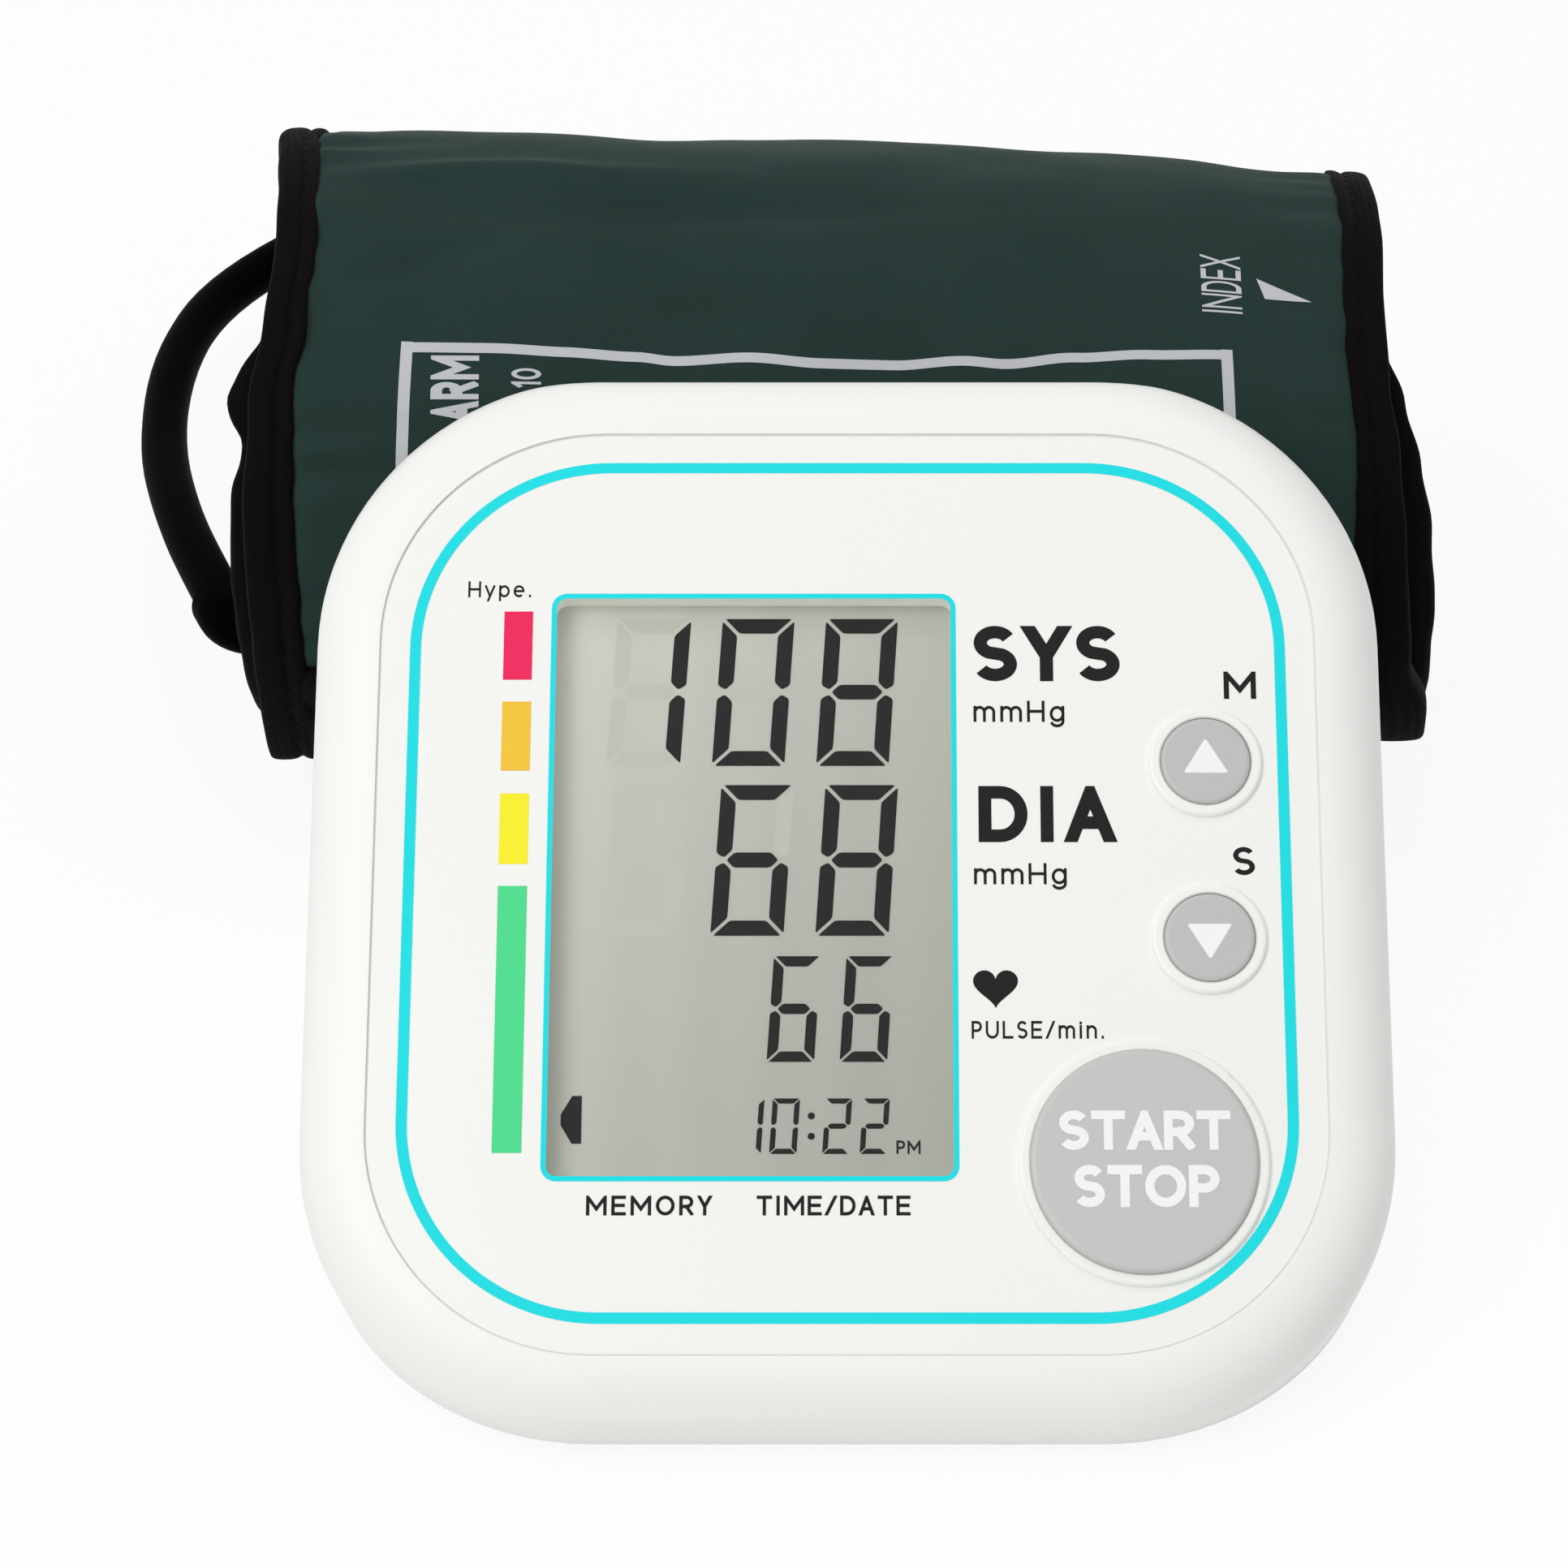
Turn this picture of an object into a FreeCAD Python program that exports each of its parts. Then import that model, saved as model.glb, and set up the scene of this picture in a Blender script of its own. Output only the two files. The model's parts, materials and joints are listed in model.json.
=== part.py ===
"""Desk-top upper-arm blood pressure monitor with its rolled arm cuff and air hose.

The monitor is a white wedge with a sloping face: a panel with a display and three push buttons,
a circuit board behind it, and a pump, a valve, an air manifold and a battery bay in the tray below.
The cuff lies behind it, rolled into a sleeve, with its hose coiled on the table.
Millimetres, +Z up, origin on the table at the middle of the monitor and cuff together.
"""
import FreeCAD
import Part
import Sketcher
import math
import os
import re

Vector = FreeCAD.Vector
Rotation = FreeCAD.Rotation
Placement = FreeCAD.Placement

SIZES = [
    # Where the monitor and its sloping face stand
    ("monitor_centre_x", 2.6, "centre line of the monitor"),
    ("monitor_centre_y", -49.46, "middle of the face, front to back"),
    ("panel_centre_height", 46.8, "middle of the face above the table"),
    ("face_slope", 35, "tilt of the face from level, degrees"),
    # Housing
    ("panel_width", 110, "face panel, side to side"),
    ("panel_height", 111, "face panel along the slope"),
    ("panel_corner", 26, "corner radius of the face panel"),
    ("panel_thickness", 2, "face panel"),
    ("panel_seam", 0.25, "gap round the face panel"),
    ("bezel_width", 8.2, "housing rim round the panel"),
    ("bezel_brow", 1.5, "extra width of the rim along the top"),
    ("bezel_rise", 0.3, "rim above the panel"),
    ("bezel_round", 8, "rounding of the rim"),
    ("wall", 2.2, "housing wall and floor"),
    ("front_wall", 2, "housing wall under the panel"),
    ("inner_round", 3, "rounding inside the rim"),
    ("back_depth", 57.3, "middle of the face to the back wall"),
    ("back_round", 6, "rounding of the back edges"),
    ("inner_back_round", 1.6, "rounding of the back edges inside"),
    ("prism_depth", 95, "depth of the housing block before it is trimmed"),
    ("foot_height", 1.5, "underside above the table"),
    ("parting_height", 8.5, "joint between the two shells"),
    ("keep_reach", 130, "reach of the trimming blocks"),
    ("overrun", 0.5, "how far a cut or a weld runs past its face"),
    ("fit_gap", 0.3, "loose fit between housed parts"),
    ("close_gap", 0.05, "close fit of turning and sliding parts"),
    # Display
    ("display_width", 47.4, "window"),
    ("display_height", 70.7, "window"),
    ("display_corner", 1.6, "corner radius of the window"),
    ("display_x", -11.1, "middle of the window"),
    ("display_rise", -0.1, "middle of the window up the face"),
    ("lens_gap", 0.1, "gap round the lens"),
    ("lens_recess", 0.1, "lens below the panel's face"),
    ("lens_flange", 2, "lens flange behind the panel"),
    ("lens_flange_thickness", 1.2, "lens flange"),
    ("glass_margin", 1.5, "display glass past the window, each side"),
    ("glass_thickness", 2.8, "display glass"),
    ("glass_gap", 0.2, "air between lens and glass"),
    ("frame_border", 5, "display frame past the window, each side"),
    ("frame_ledge", 3, "ledge that carries the glass at its sides"),
    ("frame_lip", 0.8, "lip that carries the glass at its ends"),
    ("reflector_thickness", 0.4, "reflector sheet"),
    ("strip_thickness", 2.2, "elastic contact strip"),
    # Circuit board
    ("board_width", 104, "circuit board"),
    ("board_height", 90, "circuit board"),
    ("board_corner", 24, "corner radius of the board"),
    ("board_thickness", 1.6, "circuit board"),
    ("board_depth", 13, "front of the board below the face"),
    ("standoff_radius", 3.2, "board post"),
    ("pilot_radius", 1.05, "screw hole in a board post"),
    ("board_hole_radius", 1.5, "screw hole in the board"),
    ("board_screw_radius", 1, "board screw"),
    ("board_screw_length", 7, "board screw under its head"),
    ("board_screw_head_radius", 2.4, "board screw"),
    ("board_screw_head_height", 1.6, "board screw"),
    ("chip_width", 14, "controller chip"),
    ("chip_thickness", 1.6, "controller chip"),
    ("chip_x", -22, "controller chip"),
    ("chip_rise", 16, "controller chip up the face"),
    ("buzzer_radius", 6, "buzzer"),
    ("buzzer_height", 6, "buzzer"),
    ("buzzer_x", 30, "buzzer"),
    ("buzzer_rise", 22, "buzzer up the face"),
    # Buttons
    ("start_x", 33.86, "large button"),
    ("start_rise", -33.48, "large button up the face"),
    ("start_radius", 13, "large button"),
    ("start_crown", 1.4, "large button above the panel"),
    ("start_stem_radius", 2.2, "stem of the large button"),
    ("small_x", 41.9, "small buttons"),
    ("memory_rise", 14.4, "upper small button up the face"),
    ("set_rise", -7, "lower small button up the face"),
    ("small_radius", 5.3, "small button"),
    ("small_crown", 1, "small button above the panel"),
    ("small_stem_radius", 1.7, "stem of a small button"),
    ("button_gap", 0.2, "gap round a button in the panel"),
    ("button_edge", 0.6, "rounding of a button's edge"),
    ("collar_width", 1.2, "raised collar round a button"),
    ("collar_height", 0.7, "raised collar above the panel"),
    ("collar_edge", 0.5, "rounding of a collar's outer edge"),
    ("cap_wall", 1.6, "wall of a button cap"),
    ("flange_lip", 1.3, "button flange past the cap"),
    ("flange_thickness", 1.2, "button flange"),
    ("flange_clearance", 0.15, "button flange below the housing wall"),
    ("switch_width", 6.2, "tact switch"),
    ("switch_height", 3.4, "tact switch"),
    ("switch_floor", 0.4, "floor of a tact switch"),
    ("plunger_radius", 1.7, "switch plunger"),
    ("plunger_length", 3.2, "switch plunger"),
    ("plunger_depth", 8.2, "top of a plunger below the face"),
    # Battery bay and its door
    ("cell_radius", 5.25, "battery cell"),
    ("cell_length", 44.5, "battery cell with its nub"),
    ("cell_count", 4, "battery cells"),
    ("nub_radius", 1.9, "positive nub"),
    ("nub_length", 0.8, "positive nub"),
    ("cell_gap", 0.5, "gap between cells"),
    ("bay_left", 6, "left inside face of the bay"),
    ("bay_front", -6, "front inside face of the bay"),
    ("bay_wall", 1.4, "bay wall"),
    ("plate_thickness", 0.4, "contact plate"),
    ("plate_width", 8, "contact plate"),
    ("spring_length", 4.6, "battery spring"),
    ("spring_wire_radius", 0.4, "battery spring"),
    ("spring_base_radius", 3.6, "battery spring at its plate"),
    ("spring_tip_radius", 2.2, "battery spring at the cell"),
    ("spring_turns", 2.5, "turns of a battery spring"),
    ("door_gap", 0.3, "gap round the battery door"),
    ("hinge_pin_radius", 0.6, "pin of the battery door"),
    ("hinge_pin_length", 1.2, "pin of the battery door"),
    ("latch_width", 12, "thumb latch of the door"),
    ("latch_reach", 3, "thumb latch past the bay"),
    ("latch_thickness", 1.2, "thumb latch"),
    ("grip_depth", 0.6, "finger grooves of the door"),
    ("grip_width", 1.6, "finger grooves of the door"),
    ("grip_pitch", 3.2, "finger grooves of the door"),
    ("grip_count", 4, "finger grooves of the door"),
    # Feet and case screws
    ("foot_radius", 5, "rubber foot"),
    ("foot_recess", 0.8, "seat of a foot in the floor"),
    ("foot_x", 38, "rubber feet"),
    ("foot_front", -33, "front feet"),
    ("foot_back", 47, "back feet"),
    ("boss_radius", 4, "screw boss"),
    ("screw_x", 52.5, "case screws"),
    ("screw_front", -24, "front case screws"),
    ("screw_back", 46, "back case screws"),
    ("front_boss_top", 25.5, "front screw boss above the table"),
    ("back_boss_top", 30, "back screw boss above the table"),
    ("case_screw_radius", 1.4, "case screw"),
    ("case_screw_top", 20, "tip of a case screw above the table"),
    ("case_screw_hole", 1.7, "hole for a case screw"),
    ("case_pilot_radius", 1.45, "case screw hole in a front boss"),
    ("case_pilot_top", 22, "end of that hole above the table"),
    ("screw_head_radius", 2.9, "case screw head"),
    ("screw_head_height", 1.8, "case screw head"),
    ("screw_seat", 4.2, "seat of a screw head above the table"),
    ("screw_pocket_radius", 3.2, "pocket of a screw head"),
    # Pump
    ("pump_y", 26, "pump axis"),
    ("motor_left", -57, "left end of the motor"),
    ("motor_radius", 12, "motor"),
    ("motor_length", 25, "motor"),
    ("pump_radius", 13.5, "pump"),
    ("pump_length", 14, "pump body"),
    ("pump_wall", 2, "pump body"),
    ("diaphragm_thickness", 2, "pump diaphragm"),
    ("cover_length", 7, "pump cover"),
    ("shaft_radius", 1, "pump shaft"),
    ("shaft_seat", 10, "shaft inside the motor"),
    ("shaft_hole_radius", 1.6, "hole in the pump body"),
    ("crank_radius", 4, "crank disc"),
    ("crank_thickness", 3, "crank disc"),
    ("crank_standoff", 1.5, "crank disc from the pump wall"),
    ("crank_pin_radius", 1, "crank pin"),
    ("crank_throw", 2.5, "crank pin from the axis"),
    ("crank_pin_length", 3.5, "crank pin"),
    ("saddle_thickness", 1.5, "rubber under the pump"),
    ("saddle_width", 18, "rubber saddle, front to back"),
    ("saddle_length", 9, "rubber saddle along the pump"),
    ("saddle_top", 12, "rubber saddle above the table"),
    # Valve, manifold and inside tubes
    ("manifold_y", 0, "air manifold"),
    ("manifold_height", 10, "middle of the manifold above the table"),
    ("manifold_length", 16, "air manifold"),
    ("manifold_width", 9, "air manifold"),
    ("manifold_rest_length", 12, "ledge under the manifold"),
    ("manifold_branch", 4, "upper nozzles from the middle"),
    ("nozzle_radius", 2, "air nozzle"),
    ("nozzle_length", 5, "air nozzle"),
    ("branch_length", 3.6, "air nozzle under the bend of the socket tube"),
    ("nozzle_space", 0.8, "gap between two nozzles in one tube"),
    ("tube_bore", 2.05, "inside radius of the small tubes"),
    ("tube_radius", 3, "outside radius of the small tubes"),
    ("tube_setback", 0.5, "end of a tube from the block"),
    ("pump_tube_length", 8.2, "tube from manifold to pump"),
    ("tube_bend", 4.5, "bend of the socket tube"),
    ("valve_length", 22, "exhaust valve"),
    ("valve_cap", 2, "closed end of the valve"),
    ("valve_coil_length", 13.5, "valve coil"),
    ("valve_coil_radius", 4.9, "valve coil"),
    ("valve_coil_gap", 0.1, "room round the valve coil"),
    ("valve_bore", 2.2, "valve bore"),
    ("valve_bore_length", 16.5, "valve bore"),
    ("valve_plunger_radius", 2.1, "valve plunger"),
    ("valve_plunger_length", 14, "valve plunger"),
    ("valve_plunger_rest", 0.5, "plunger from the closed end"),
    ("sensor_width", 10, "pressure sensor"),
    ("sensor_height", 4, "pressure sensor"),
    ("sensor_nipple", 1.6, "pressure sensor's nipple"),
    ("sensor_tube_length", 3.4, "tube on the sensor"),
    # Air socket in the left wall
    ("socket_y", 6, "air socket"),
    ("socket_height", 23, "air socket above the table"),
    ("socket_radius", 6, "air socket barrel"),
    ("socket_length", 12.5, "air socket barrel"),
    ("socket_bore", 2.7, "bore for the air plug"),
    ("socket_bore_length", 10, "bore for the air plug"),
    ("socket_rim", 0.8, "rim outside the wall"),
    ("socket_rim_radius", 7.4, "rim outside the wall"),
    ("nut_radius", 9, "nut inside the wall"),
    ("nut_thickness", 3, "nut inside the wall"),
    # Rolled arm cuff
    ("cuff_gap", 8.2, "cuff behind the back wall"),
    ("roll_radius", 41, "outside of the roll at its middle"),
    ("cuff_thickness", 4.4, "cuff through all its layers"),
    ("fabric_thickness", 0.8, "cover and lining"),
    ("wrap_gap", 1.2, "space between the two wraps"),
    ("outer_half_width", 74.5, "outer wrap, middle to edge"),
    ("inner_overhang", 2.5, "inner wrap past the edge of the outer wrap"),
    ("binding_width", 6, "edge binding of the outer wrap"),
    ("patch_margin", 18.5, "fabric at each side of the hook patch"),
    ("patch_thickness", 0.8, "hook patch"),
    ("tail_angle", 216, "free end of the cuff, degrees from the back"),
    ("joint_angle", 52.5, "where the roll's half turns meet, degrees"),
    ("tail_hem_angle", 25, "hem at the free end, degrees of roll"),
    ("patch_start_angle", 30, "hook patch, degrees of roll"),
    ("patch_end_angle", 110, "hook patch, degrees of roll"),
    ("wrap_angle", 343.5, "where the inner wrap begins, degrees of roll"),
    ("head_angle", 645, "start of the inner hem, degrees of roll"),
    ("roll_angle", 665, "whole roll, degrees"),
    # Hose and its fittings
    ("hose_radius", 3.3, "air hose"),
    ("elbow_radius", 4.2, "moulded elbow on the cuff's lining"),
    ("elbow_inset", 6, "elbow's foot inside the cuff's edge"),
    ("elbow_rise", 5, "elbow's middle above the lining"),
    ("elbow_reach", 2.3, "elbow's turn past the cuff's edge"),
    ("elbow_lip", 1.2, "straight end of the elbow"),
    ("elbow_bend", 4.8, "bends of the elbow"),
    ("elbow_bed", 0.15, "elbow's foot pressed into the lining"),
    ("elbow_collar_radius", 5.6, "flange on the lining"),
    ("elbow_collar_length", 1.4, "flange on the lining"),
    ("port_angle", 209, "elbow on the cuff's lining, degrees from the back"),
    ("coil_radius", 38, "outer turn of the hose coil"),
    ("coil_draw", 7, "how far the coil winds in"),
    ("coil_layer", 7.6, "height between the coil's two layers"),
    ("coil_lift", 1, "coil above the table"),
    ("coil_entry", 56, "where the hose enters the coil, from the cuff's left edge"),
    ("coil_entry_back", 110.2, "where the hose enters the coil, behind the roll's axis"),
    ("coil_approach", 24, "straight hose before the coil"),
    ("coil_turns", 2, "turns in the coil"),
    ("tie_thickness", 0.5, "tie round the coil"),
    ("tie_width", 6, "tie round the coil"),
    ("tie_room", 0.35, "room inside the tie"),
    ("plug_radius", 4, "grip of the air plug"),
    ("plug_length", 15, "grip of the air plug"),
    ("plug_collar", 1.5, "collar of the air plug"),
    ("plug_collar_radius", 3.6, "collar of the air plug"),
    ("nose_radius", 2.6, "nose of the air plug"),
    ("nose_length", 9.5, "nose of the air plug"),
]

# Board posts as shares of the board's half width and half height
POST_SHARES = [(-0.894, 0.622), (-0.894, -0.622), (0.481, 0.889), (0.423, -0.333)]

# Route of the free hose from the elbow towards the coil, chosen by hand: from the cuff's left edge, from the
# roll's axis and above the table
HOSE_ROUTE = [
    (-6.8, -13.0, 23.6),
    (-13.5, 6.0, 21.0),
    (-19.5, 31.0, 17.0),
    (-20.7, 58.0, 15.0),
    (-16.0, 80.0, 13.0),
    (0.0, 101.0, 12.0),
]

doc = FreeCAD.newDocument("blood_pressure_monitor")
sheet = doc.addObject("Spreadsheet::Sheet", "Sizes")
ALIASES = {alias for alias, number, note in SIZES}
nodes = []


def fill_sheet():
    """Write every driving size to a cell of its own."""
    for row, (alias, number, note) in enumerate(SIZES, 1):
        sheet.set(f"A{row}", note)
        sheet.set(f"B{row}", str(number))
        sheet.setAlias(f"B{row}", alias)
    doc.recompute()


def mm(alias):
    """One size from the sheet."""
    return float(sheet.get(alias))


def bound(text):
    """Spell the size names in an expression as cells of the sheet."""
    return re.sub(r"[a-z]\w*", lambda word: f"Sizes.{word[0]}" if word[0] in ALIASES else word[0], text)


def value(text):
    """What an expression comes to now."""
    return float(sheet.evalExpression(bound(text)))


def named(shape_object, label):
    """Give a finished sub-part its name."""
    shape_object.Label = label
    nodes.append(shape_object)
    return shape_object


# Expressions that several pieces share
HALF_WIDTH = "(panel_width / 2 + panel_seam + bezel_width)"
WALL_BACK = "(panel_thickness + front_wall)"
FLOOR = "(foot_height + wall)"
BOARD_BACK = "(board_depth + board_thickness)"
GLASS_FRONT = "(panel_thickness + lens_flange_thickness + glass_gap)"
GLASS_BACK = "(panel_thickness + lens_flange_thickness + glass_gap + glass_thickness)"
GLASS_WIDTH = "(display_width + 2 * glass_margin)"
GLASS_HEIGHT = "(display_height + 2 * glass_margin)"
BAY_RIGHT = "(bay_left + cell_length + 2 * plate_thickness + spring_length)"
BAY_DEPTH = "(cell_count * 2 * cell_radius + (cell_count - 1) * cell_gap + 2 * fit_gap)"
BAY_BACK = f"(bay_front + {BAY_DEPTH})"
CELL_HEIGHT = f"({FLOOR} + fit_gap + cell_radius)"
BAY_TOP = f"({FLOOR} + 2 * fit_gap + 2 * cell_radius)"
HINGE_X = f"({BAY_RIGHT} - door_gap - wall / 2)"
HINGE_HEIGHT = "(foot_height + wall / 2)"
PUMP_HEIGHT = f"({FLOOR} + saddle_thickness + pump_radius)"
PUMP_LEFT = "(motor_left + motor_length)"
DIAPHRAGM_LEFT = f"({PUMP_LEFT} + pump_length)"
COVER_LEFT = f"({DIAPHRAGM_LEFT} + diaphragm_thickness)"
MANIFOLD_X = f"({COVER_LEFT} + cover_length / 2)"
VALVE_RIGHT = f"({MANIFOLD_X} - manifold_length / 2 - 2 * nozzle_length - nozzle_space)"
VALVE_LEFT = f"({VALVE_RIGHT} - valve_length)"
VALVE_HALF = f"(manifold_height - {FLOOR})"
SENSOR_X = f"({MANIFOLD_X} - manifold_branch)"
BRANCH_X = f"({MANIFOLD_X} + manifold_branch)"
SENSOR_RISE = "(manifold_y * cos(face_slope) + (manifold_height - panel_centre_height) * sin(face_slope))"
MANIFOLD_DEPTH = "((panel_centre_height - manifold_height) * cos(face_slope) + manifold_y * sin(face_slope))"


# Frames: the table frame under the monitor, and the sloping face
TURN = {"x": Rotation(Vector(0, 1, 0), 90), "y": Rotation(Vector(1, 0, 0), -90), "z": Rotation()}


def place_base(piece, x="0", y="0", z="0", axis="z"):
    """Stand a piece in the frame under the monitor, its own Z along the axis."""
    piece.Placement = Placement(Vector(), TURN[axis])
    piece.setExpression("Placement.Base.x", bound(f"monitor_centre_x + ({x})"))
    piece.setExpression("Placement.Base.y", bound(f"monitor_centre_y + ({y})"))
    piece.setExpression("Placement.Base.z", bound(z))
    return piece


def place_face(piece, x="0", rise="0", out="0"):
    """Lay a piece on the sloping face: across it, up it and out of it."""
    piece.Placement = Placement(Vector(), Rotation(Vector(1, 0, 0), mm("face_slope")))
    level = f"({rise}) * cos(face_slope) - ({out}) * sin(face_slope)"
    height = f"({rise}) * sin(face_slope) + ({out}) * cos(face_slope)"
    piece.setExpression("Placement.Base.x", bound(f"monitor_centre_x + ({x})"))
    piece.setExpression("Placement.Base.y", bound(f"monitor_centre_y + {level}"))
    piece.setExpression("Placement.Base.z", bound(f"panel_centre_height + {height}"))
    piece.setExpression("Placement.Rotation.Angle", bound("face_slope"))
    return piece


# Primitives and booleans
def box(name, length, width, height):
    piece = doc.addObject("Part::Box", name)
    for edge, text in (("Length", length), ("Width", width), ("Height", height)):
        piece.setExpression(edge, bound(text))
    return piece


def base_box(name, low, high):
    """A block in the frame under the monitor, from its low corner to its high one."""
    sides = [f"({top}) - ({bottom})" for bottom, top in zip(low, high)]
    return place_base(box(name, *sides), *low)


def face_box(name, middle, size, low, high):
    """A block square to the face, about its middle, between two levels."""
    piece = box(name, size[0], size[1], f"({high}) - ({low})")
    return place_face(piece, f"({middle[0]}) - ({size[0]}) / 2", f"({middle[1]}) - ({size[1]}) / 2", low)


def cylinder(name, radius, length):
    piece = doc.addObject("Part::Cylinder", name)
    piece.setExpression("Radius", bound(radius))
    piece.setExpression("Height", bound(length))
    return piece


def base_rod(name, axis, start, radius, length):
    """A round bar in the frame under the monitor, from its start along an axis."""
    return place_base(cylinder(name, radius, length), *start, axis=axis)


def face_rod(name, middle, radius, low, high):
    """A round bar square to the face, between two levels."""
    return place_face(cylinder(name, radius, f"({high}) - ({low})"), *middle, low)


def combine(kind, name, first, second):
    piece = doc.addObject(kind, name)
    piece.Base = first
    piece.Tool = second
    return piece


def cut(name, first, second):
    return combine("Part::Cut", name, first, second)


def common(name, first, second):
    return combine("Part::Common", name, first, second)


def fuse(name, pieces):
    piece = doc.addObject("Part::MultiFuse", name)
    piece.Shapes = pieces
    return piece


def group(name, pieces):
    piece = doc.addObject("Part::Compound", name)
    piece.Links = pieces
    return piece


def solid(name, shape):
    """A piece whose shape is worked out from the sheet's sizes."""
    piece = doc.addObject("Part::Feature", name)
    piece.Shape = shape
    piece.Placement = Placement()
    return piece


# Sketched bodies
def new_body(name):
    return doc.addObject("PartDesign::Body", name)


def sketch_on(body, role, offset=("0", "0", "0")):
    """A sketch on one of the body's own planes, shifted by three expressions."""
    sketch = body.newObject("Sketcher::SketchObject", f"{body.Name}_sketch")
    plane = next(part for part in body.Origin.OriginFeatures if part.Role == role)
    sketch.AttachmentSupport = (plane, [""])
    sketch.MapMode = "FlatFace"
    for axis, text in zip("xyz", offset):
        sketch.setExpression(f"AttachmentOffset.Base.{axis}", bound(text))
    return sketch


def bind(sketch, constraint, text):
    """Add a sized constraint and tie its size to the sheet."""
    index = sketch.addConstraint(constraint)
    sketch.setExpression(f"Constraints[{index}]", bound(text))


def bind_point(sketch, line, end, x, y):
    """Tie one end of a line to two expressions."""
    for kind, axis, text in (("DistanceX", -2, x), ("DistanceY", -1, y)):
        if text == "0":
            sketch.addConstraint(Sketcher.Constraint("PointOnObject", line, end, axis))
        else:
            bind(sketch, Sketcher.Constraint(kind, -1, 1, line, end, value(text)), text)


def straight_outline(sketch, points):
    """A closed outline of straight sides with every corner tied to the sheet."""
    spots = [Vector(value(x), value(y), 0) for x, y in points]
    count = len(points)
    for index in range(count):
        side = Part.LineSegment(spots[index], spots[(index + 1) % count])
        sketch.addGeometry(side, False)
    for index in range(count):
        sketch.addConstraint(Sketcher.Constraint("Coincident", index, 2, (index + 1) % count, 1))
    for index, (x, y) in enumerate(points):
        bind_point(sketch, index, 1, x, y)


def rounded_outline(sketch, width, height, radius, middle=("0", "0")):
    """A rectangle with round corners, drawn anticlockwise from its lower side."""
    across, up, turn = value(width) / 2, value(height) / 2, value(radius)
    centre = Vector(value(middle[0]), value(middle[1]), 0)
    first = sketch.GeometryCount
    for quarter in range(4):
        heading = Rotation(Vector(0, 0, 1), 90 * quarter)
        reach, side = (across, up) if quarter % 2 == 0 else (up, across)
        start = centre + heading.multVec(Vector(turn - reach, -side, 0))
        finish = centre + heading.multVec(Vector(reach - turn, -side, 0))
        hub = centre + heading.multVec(Vector(reach - turn, turn - side, 0))
        angle = math.radians(90 * quarter)
        circle = Part.Circle(hub, Vector(0, 0, 1), turn)
        sketch.addGeometry(Part.LineSegment(start, finish), False)
        sketch.addGeometry(Part.ArcOfCircle(circle, angle - math.pi / 2, angle), False)
    for quarter in range(4):
        line, arc = first + 2 * quarter, first + 2 * quarter + 1
        following = first + 2 * ((quarter + 1) % 4)
        sketch.addConstraint(Sketcher.Constraint("Tangent", line, 2, arc, 1))
        sketch.addConstraint(Sketcher.Constraint("Tangent", arc, 2, following, 1))
        sketch.addConstraint(Sketcher.Constraint("Vertical" if quarter % 2 else "Horizontal", line))
        if quarter:
            sketch.addConstraint(Sketcher.Constraint("Equal", first + 1, arc))
    bind(sketch, Sketcher.Constraint("Radius", first + 1, turn), radius)
    for line, kind, text in (
        (first, "DistanceY", f"({middle[1]}) - ({height}) / 2"),
        (first + 2, "DistanceX", f"({middle[0]}) + ({width}) / 2"),
        (first + 4, "DistanceY", f"({middle[1]}) + ({height}) / 2"),
        (first + 6, "DistanceX", f"({middle[0]}) - ({width}) / 2"),
    ):
        bind(sketch, Sketcher.Constraint(kind, -1, 1, line, 1, value(text)), text)


def circle_outline(sketch, radius, middle):
    centre = Vector(value(middle[0]), value(middle[1]), 0)
    index = sketch.addGeometry(Part.Circle(centre, Vector(0, 0, 1), value(radius)), False)
    bind(sketch, Sketcher.Constraint("Radius", index, value(radius)), radius)
    bind_point(sketch, index, 3, *middle)


def feature(body, kind, sketch, length):
    """A pad that grows out of its sketch's plane, or a pocket that sinks below it."""
    piece = body.newObject(kind, f"{body.Name}_{kind.split('::')[1].lower()}")
    piece.Profile = sketch
    piece.setExpression("Length", bound(length))
    return piece


def pad(body, sketch, length):
    return feature(body, "PartDesign::Pad", sketch, length)


def pocket(body, sketch, length):
    return feature(body, "PartDesign::Pocket", sketch, length)


def edges_where(shape, test):
    return [index for index, edge in enumerate(shape.Edges, 1) if test(edge)]


def all_at(edge, axis, level, slack=1e-4):
    """Whether an edge lies whole in a plane square to an axis."""
    spots = edge.discretize(5)
    return all(abs(getattr(spot, axis) - level) < slack for spot in spots)


def round_edges(body, base, indexes, radius):
    piece = body.newObject("PartDesign::Fillet", f"{body.Name}_fillet")
    piece.Base = (base, [f"Edge{index}" for index in indexes])
    piece.setExpression("Radius", bound(radius))
    return piece


def rounded_plate(name, width, height, corner, low, high, middle=("0", "0")):
    """A plate square to the face with round corners, between two levels."""
    body = new_body(name)
    sketch = sketch_on(body, "XY_Plane", ("0", "0", low))
    rounded_outline(sketch, width, height, corner, middle)
    pad(body, sketch, f"({high}) - ({low})")
    return place_face(body)


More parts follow.
